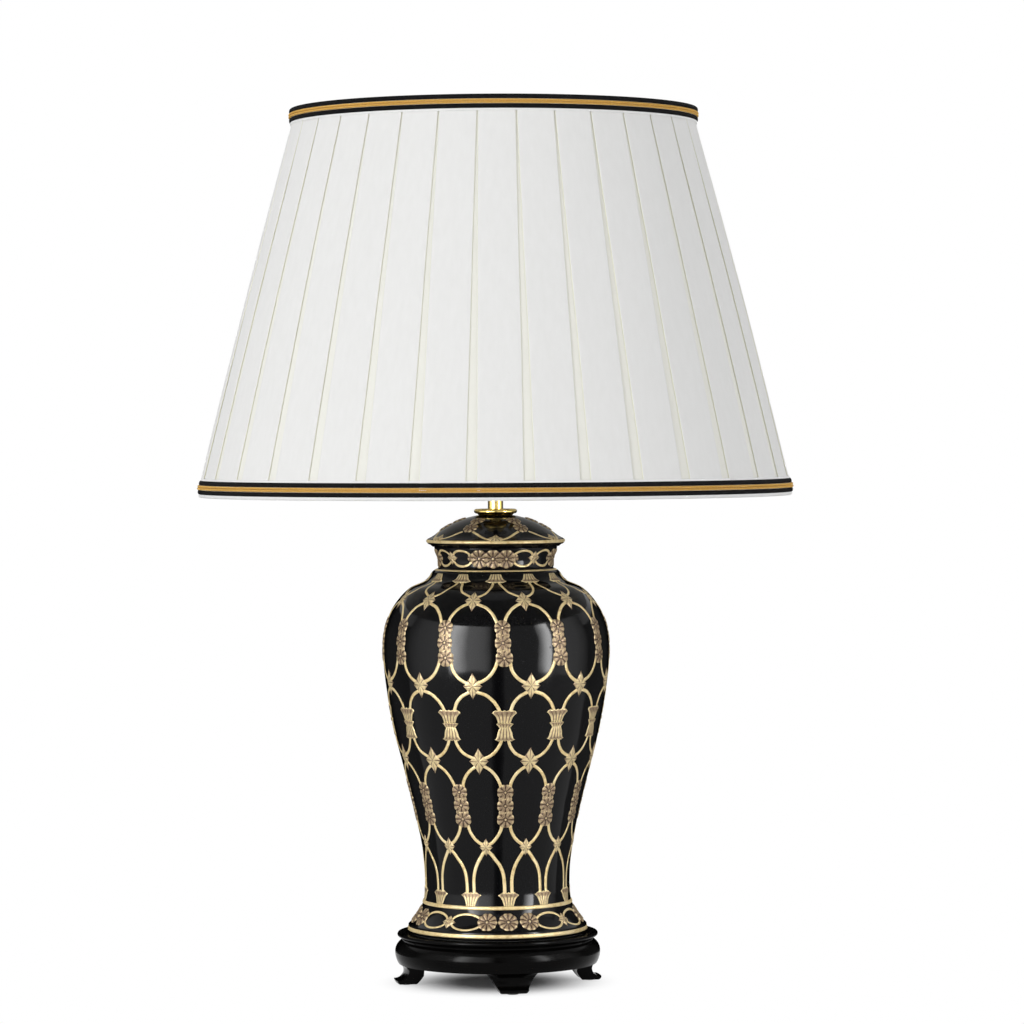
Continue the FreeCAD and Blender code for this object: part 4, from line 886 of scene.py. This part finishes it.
pleat_count = 34
pleat_turn = math.radians(0.9)
pitch_angle = math.tau / pleat_count
recess_depth = 0.00106
cone_swell = 0.0013
panel_bow = 0.0005
seam_gap = 0.0001
pleat_points, pleat_chart, pleat_fold_glow = [], [], []
cloth_length = 0.0
for row, (height, radius, gap, tuck) in enumerate(cloth_rows):
    if row:
        cloth_length += math.dist((height, radius), cloth_rows[row - 1][:2])
    half = (pitch_angle - gap / radius) / 2
    slope_share = min(1.0, max(0.0, (height - levels[1][0]) / (levels[2][0] - levels[1][0])))
    swell = cone_swell * math.sin(math.pi * slope_share)
    # One side of a pleat from its middle outwards: (distance in from the panel's edge, depth).
    side = [
        (half * radius * 0.66, 0.0),
        (half * radius * 0.33, 0.0),
        (0.0012, 0.0),
        (0.0003, 0.00005),
        (0.0, 0.00030),
        (0.0003, 0.00050),
        (0.0012, 0.00056),
        (tuck, 0.00060),
        (tuck + 0.0003, 0.00079),
        (tuck, 0.00097),
        (0.0012, 0.00102),
        (-0.0002, 0.00104),
    ]
    line = [(half - inward / radius, depth) for inward, depth in side]
    line.append((pitch_angle / 2, recess_depth))
    full = [(-angle, depth) for angle, depth in reversed(line)] + [(0.0, 0.0)] + line
    walked = 0.0
    last = None
    for angle, depth in full:
        chord = radius * math.cos(half) / math.cos(min(abs(angle), half))
        bow = panel_bow * max(0.0, 1 - (angle / half) ** 2)
        out = (chord + bow if abs(angle) < half else radius) - depth - seam_gap + swell
        turn = angle + pleat_turn
        point = Vector((out * math.sin(turn), -out * math.cos(turn), height))
        if last is not None:
            walked += (point - last).length
        last = point
        pleat_points.append(point)
        pleat_chart.append((walked, cloth_length))
        # Where the cloth lies folded under its panel it is painted a lighter cream, a painted glow of
        # light in the folds; the recess floor takes a little of it.
        pleat_fold_glow.append(1.0 if 0.0002 < depth < 0.00103 else min(0.3, depth / 0.001))
pleat_faces = [(a, d, c, b) for a, b, c, d in grid(len(cloth_rows), len(full))]

pleats = Recipe("pleats round the frame")
pleat_ring = pleats.add("GeometryNodeRealizeInstances", {}, {"Geometry": pleats.copies(pleats.start)})
pleat_sockets = {"Geometry": pleat_ring, "Distance": pleats.ask("Seam")}
pleat_ring = pleats.add("GeometryNodeMergeByDistance", {}, pleat_sockets)
pleat_place = pleats.add("GeometryNodeInputPosition")
pleat_slow = pleats.vectors("MULTIPLY", {0: pleat_place, 1: (1.0, 1.0, 0.35)})
pleat_sockets = {"Vector": pleat_slow, "Scale": pleats.ask("Slack scale")}
pleat_slack = pleats.add("ShaderNodeTexNoise", {}, pleat_sockets, 1)
pleat_slack = pleats.vectors("SUBTRACT", {0: pleat_slack, 1: (0.5, 0.5, 0.5)})
pleat_slack = pleats.vectors("MULTIPLY", {0: pleat_slack, 1: (1.0, 1.0, 0.0)})
pleat_slack = pleats.vectors("SCALE", {0: pleat_slack, 3: pleats.ask("Slack")})
pleat_sockets = {"Geometry": pleat_ring, "Offset": pleat_slack}
pleats.deliver(pleats.add("GeometryNodeSetPosition", {}, pleat_sockets))

pleated_cover = piece_of("pleated_cover", pleat_points, pleat_faces)
chart_of(pleated_cover, pleat_chart)
mark(pleated_cover, "fold_glow", pleat_fold_glow)
pleat_values = {"Count": pleat_count, "Turn": 0.0, "Seam": 0.00001, "Slack scale": 9.0, "Slack": 0.0022}
pleats.make(pleated_cover, {**pleat_values, "Finish": cotton.material})
thicken(pleated_cover, 0.00024)
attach(pleated_cover, "shade")
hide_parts("shade_cover")


# The lining: thin white cotton in one layer, stretched inside the frame and glued to the hoops.
# It pulls in a little between the struts.
lining_cloth = Finish("white lining", matt(0.85, 0.2))
lining_slub = weave(lining_cloth, 0.0004, 0.00008)
lining_tone = lining_cloth.tint(lining_slub, (0.84, 0.84, 0.82), (0.89, 0.89, 0.875))
lining_cloth.feed({"Base Color": lining_tone})

lining_low, lining_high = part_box("shade_lining")
lining_foot, lining_top, lining_mean = 0.2466, 0.1672, 0.2
cone_foot, cone_rise = 0.4245, 0.3065
strut_count = 8
lining_pull = 0.0008
lining_rows = [(lining_foot, lining_low.z), (lining_foot, lining_low.z + 0.0035)]
for row in range(1, 13):
    radius = lining_foot + (lining_top - lining_foot) * row / 12
    lining_rows.append((radius, cone_foot + cone_rise * row / 12))
lining_rows.append((lining_top, lining_high.z))
lining_points, lining_chart = [], []
lining_steps = 160
for step in range(lining_steps):
    angle = math.tau * step / lining_steps
    between = lining_pull * (0.5 - 0.5 * math.cos(angle * strut_count))
    for row, (radius, height) in enumerate(lining_rows):
        out = radius - between * math.sin(math.pi * row / (len(lining_rows) - 1))
        lining_points.append((out * math.cos(angle), out * math.sin(angle), height))
        lining_chart.append((angle * lining_mean, height))
lining_faces = grid(lining_steps, len(lining_rows), True)
cloth_lining = piece_of("cloth_lining", lining_points, lining_faces, finish=lining_cloth)
chart_of(cloth_lining, lining_chart)
thicken(cloth_lining, 0.0004)
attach(cloth_lining, "shade")
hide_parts("shade_lining")


# The braid: a flat woven band glued round both ends, two black ribs with a pair of gold cords
# between them, over a white bias strip that shows as a thin line.
rib_threads = 1400
braid_black = Finish("black braid", matt(0.7, 0.03))
braid_across, braid_front = (braid_black.axis(braid_black.place, number) for number in (0, 1))
braid_angle = braid_black.maths("ARCTAN2", braid_across, braid_front)
rib = braid_black.maths("SINE", braid_angle * rib_threads)
# The braid is painted lighter on the crowns of its ribbed threads and darker between them, as painted
# highlight and shade.
rib_light_and_shade = braid_black.tint(rib * 0.5 + 0.5, (0.003, 0.003, 0.003), (0.011, 0.011, 0.012))
braid_black.feed({"Base Color": rib_light_and_shade})
braid_black.emboss(rib, 0.00025)

gold_tones = ((0.50, 0.26, 0.04), (0.80, 0.50, 0.12))
braid_gold = mottled("gold cord", matt(0.5, 0.15), (900, 3), gold_tones, 0.0002)

bias_tones = ((0.86, 0.86, 0.85), (0.93, 0.93, 0.92))
bias = mottled("white bias strip", matt(0.8, 0.2), (700, 3), bias_tones, 0.0002)

cords = Recipe("twisted cord round the shade")
cord_radius, cord_height = cords.ask("Radius"), cords.ask("Height")
cord_twists, cord_strand = cords.ask("Twists", "Int"), cords.ask("Strand")
points_each_twist = 8
strand_offset = 0.85
circle_curve = "GeometryNodeCurvePrimitiveCircle"
cord_fine = cords.maths("MULTIPLY", cord_twists, points_each_twist)
cord_circle = cords.add(circle_curve, {}, {"Resolution": cord_fine, "Radius": 1.0})
cord_index = cords.add("GeometryNodeInputIndex")
cord_pair = cords.tree.nodes.new("GeometryNodeJoinGeometry")
cord_strands = []
for phase in (0.0, math.pi):
    lay_angle = cord_index * (math.tau / points_each_twist) + phase
    out = cord_radius + cords.maths("COSINE", lay_angle) * cord_strand * strand_offset
    up = cord_height + cords.maths("SINE", lay_angle) * cord_strand * strand_offset
    flat = cords.vectors("SCALE", {0: cords.add("GeometryNodeInputPosition"), 3: out})
    risen = cords.vectors("ADD", {0: flat, 1: cords.add("ShaderNodeCombineXYZ", {}, {"Z": up})})
    twisted = cords.add("GeometryNodeSetPosition", {}, {"Geometry": cord_circle, "Position": risen})
    cord_round = cords.add(circle_curve, {}, {"Resolution": 5, "Radius": cord_strand})
    cord_sockets = {"Curve": twisted, "Profile Curve": cord_round}
    cord_strands.append(cords.add("GeometryNodeCurveToMesh", {}, cord_sockets))
for strand in cord_strands:
    cords.join(strand, cord_pair.inputs[0])
cords.deliver(Wire(cords, cord_pair.outputs[0]))

rib_spans = ((0.0002, 0.0040), (0.0080, 0.0118))
cord_levels = (0.0050, 0.0070)
bed_foot, bed_top = 0.0041, 0.0079
strand_radius = 0.00052
round_steps = 240


def braided(name, node, foot, lean, twists):
    """The braid's ribs, cords and bed round one end of the shade. The foot is the radius and
    height of its lower edge, and lean how far it stands in from there at a height above it."""
    radius, height = foot

    def at(up, lift):
        return radius - lean(up) + lift, height + up

    made = []
    for number, (start, end) in enumerate(rib_spans):
        outline = []
        for step in range(9):
            share = step / 8
            crown = 0.0003 + 0.0009 * math.sin(math.pi * share) ** 0.5
            outline.append(at(start + (end - start) * share, crown))
        outline += [at(end, 0.0001), at(start, 0.0001)]
        rib_name = f"{name}_rib_{number + 1}"
        made.append(spun(rib_name, outline, round_steps, closed=True, finish=braid_black))
    for number, up in enumerate(cord_levels):
        out, level = at(up, 0.0008)
        cord_piece = piece_of(f"{name}_cord_{number + 1}", [(0, 0, 0)], [])
        values = {"Radius": out, "Height": level, "Twists": twists, "Strand": strand_radius}
        cords.make(cord_piece, {**values, "Finish": braid_gold.material})
        cord_piece.data.shade_smooth()
        made.append(cord_piece)
    outline = [at(bed_foot, 0.0001), at(bed_foot, 0.0005), at(bed_top, 0.0005), at(bed_top, 0.0001)]
    made.append(spun(f"{name}_bed", outline, round_steps, closed=True, finish=braid_gold))
    for piece in made:
        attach(piece, "shade")
    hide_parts(node)
    return made


cone_run = 0.0795
band_collar = 0.0055


def cone_lean(up):
    """How far the lower band follows the cone inwards above the upright collar."""
    return max(0.0, up - band_collar) * cone_run / cone_rise


bottom_low, bottom_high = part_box("bottom_trim")
top_low, top_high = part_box("top_trim")
bottom_place = (0.25255, bottom_low.z)
bottom_braid = braided("bottom_braid", "bottom_trim", bottom_place, cone_lean, 496)
top_braid = braided("top_braid", "top_trim", (0.17305, top_low.z), lambda up: 0.0, 340)
bottom_bias = [(0.2526, 0.4170), (0.2529, 0.4170), (0.2529, 0.4240), (0.25065, 0.4325)]
bottom_bias += [(0.25035, 0.4325), (0.2526, 0.4240)]
top_bias = [(0.17305, 0.7324), (0.17335, 0.7324), (0.17335, 0.7455), (0.17305, 0.7455)]
for name, outline in (("bottom_bias", bottom_bias), ("top_bias", top_bias)):
    hem = spun(name, outline, round_steps, closed=True, finish=bias)
    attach(hem, "shade")


# The studio: a pale floor that fades to a white backdrop, two soft lamps, an even sky and a row
# of tall cards that show only in the lamp's shine.
scene = bpy.context.scene
scene.view_settings.view_transform = "Standard"

world = bpy.data.worlds.new("studio")
scene.world = world
world.use_nodes = True
air = Net(world.node_tree)


def seen(net):
    """1 for rays that show what lies behind the lamp, straight or by a reflection."""
    path = net.tree.nodes.new("ShaderNodeLightPath")
    rays = ("Is Camera Ray", "Is Glossy Ray", "Is Transmission Ray")
    straight, shiny, clear = (Wire(net, path.outputs[name]) for name in rays)
    return net.maths("MAXIMUM", net.maths("MAXIMUM", straight, shiny), clear)


sky = world.node_tree.nodes["Background"]
air.join(air.tint(seen(air), (0.62, 0.62, 0.63), (1, 1, 1)), sky.inputs["Color"])

floor_half = 6
paper = Finish("pale floor", {"Base Color": (0.86, 0.86, 0.86, 1), **matt(0.9, 0.1)})
paper_reach = paper.vectors("LENGTH", {0: paper.place}, 1)
paper_white = paper.add("ShaderNodeEmission", {}, {"Color": (1, 1, 1, 1), "Strength": 1.0})
paper_mix = paper.tree.nodes.new("ShaderNodeMixShader")
paper.join(paper.span(paper_reach, 0.03, 0.108) * seen(paper), paper_mix.inputs[0])
paper.tree.links.new(paper.surface.outputs[0], paper_mix.inputs[1])
paper.join(paper_white, paper_mix.inputs[2])
paper.tree.links.new(paper_mix.outputs[0], paper.tree.nodes["Material Output"].inputs["Surface"])
floor_corners = [(x * floor_half, y * floor_half, 0) for x, y in ((-1, -1), (1, -1), (1, 1), (-1, 1))]
floor = piece_of("floor", floor_corners, [(0, 1, 2, 3)], finish=paper)


def soft_lamp(name, degrees, height, wide, tall, brightness):
    """A tall softbox at a compass angle, facing the jar."""
    distance = 2.3
    data = bpy.data.lights.new(name, "AREA")
    data.shape = "RECTANGLE"
    data.size = wide
    data.size_y = tall
    data.energy = brightness * math.pi * wide * tall
    lamp = bpy.data.objects.new(name, data)
    angle = math.radians(degrees)
    lamp.location = (distance * math.sin(angle), -distance * math.cos(angle), height)
    aim = Vector((0, 0, 0.45)) - lamp.location
    lamp.rotation_euler = aim.to_track_quat("-Z", "Y").to_euler()
    lamp.visible_camera = False
    lamp.visible_glossy = False
    scene.collection.objects.link(lamp)


soft_lamp("left_softbox", -38, 0.85, 0.8, 2.1, 4.1)
soft_lamp("right_softbox", 56, 0.8, 0.3, 1.7, 4.7)

shine = Finish("studio card", {"Base Color": (0, 0, 0, 1), **matt(1.0, 0.0)})
shine_sockets = {"Color": (1, 1, 1, 1), "Strength": shine.marked("glow")}
shine_light = shine.add("ShaderNodeEmission", {}, shine_sockets)
shine.join(shine_light, shine.tree.nodes["Material Output"].inputs["Surface"])


def card(name, start, end, top, glows, foot=1.4):
    """A tall card that curves round the lamp from one compass angle to another, with its foot on
    the floor from a radius outwards, and shows only in the lamp's shine: black, or lit by a row
    of brightnesses from one edge to the other."""
    steps = 24
    away = 1.43
    bottom = 0.002
    points, lights = [], []
    for step in range(steps + 1):
        share = step / steps * (len(glows) - 1)
        low = min(int(share), len(glows) - 2)
        glow = glows[low] + (glows[low + 1] - glows[low]) * (share - low)
        angle = math.radians(start + (end - start) * step / steps)
        for radius, height, level in (
            (foot, bottom, glow),
            (away, bottom, glow),
            (away, top * 0.93, glow),
            (away, top, glow * 0.2),
        ):
            points.append((radius * math.sin(angle), -radius * math.cos(angle), height))
            lights.append(level)
    piece = piece_of(name, points, grid(steps + 1, 4), finish=shine)
    mark(piece, "glow", lights)
    piece.visible_camera = False
    piece.visible_diffuse = False
    piece.visible_transmission = False
    piece.visible_shadow = False


card("card_left", -48, -29, 1.27, [22, 30, 26, 20, 14, 8])
card("card_left_dim", -29, -6, 1.27, [7, 6.5, 6, 5, 2])
card("card_left_far", -100, -48, 1.2, [0.3, 1.6, 2.4, 2.2])
card("card_middle", -5, 8, 1.2, [0.4, 0, 0, 0.4], 0.3)
card("card_right", 42, 57, 1.27, [3, 10, 22, 32, 34])
card("card_right_far", 57, 104, 1.2, [2.2, 2.6, 1.8, 0.3])
card("card_back", 104, 260, 0.75, [0.2, 0, 0, 0.2], 0.25)

# The camera stands where the photograph was taken: a long lens 3.6 m from the lamp, a little above
# the shade's lower edge, and tilted by a quarter of a degree.
eye = bpy.data.cameras.new("camera")
eye.sensor_width = 36
eye.lens = 147.3
eye.clip_end = 60
camera_roll = Quaternion((0, 0, 1), math.radians(-0.28))
camera = bpy.data.objects.new("camera", eye)
camera.location = (0.0, -3.58, 0.477)
direction = Vector((0.0141, 0.0, 0.4024)) - camera.location
camera.rotation_mode = "QUATERNION"
camera.rotation_quaternion = direction.to_track_quat("-Z", "Y") @ camera_roll
scene.collection.objects.link(camera)
scene.camera = camera
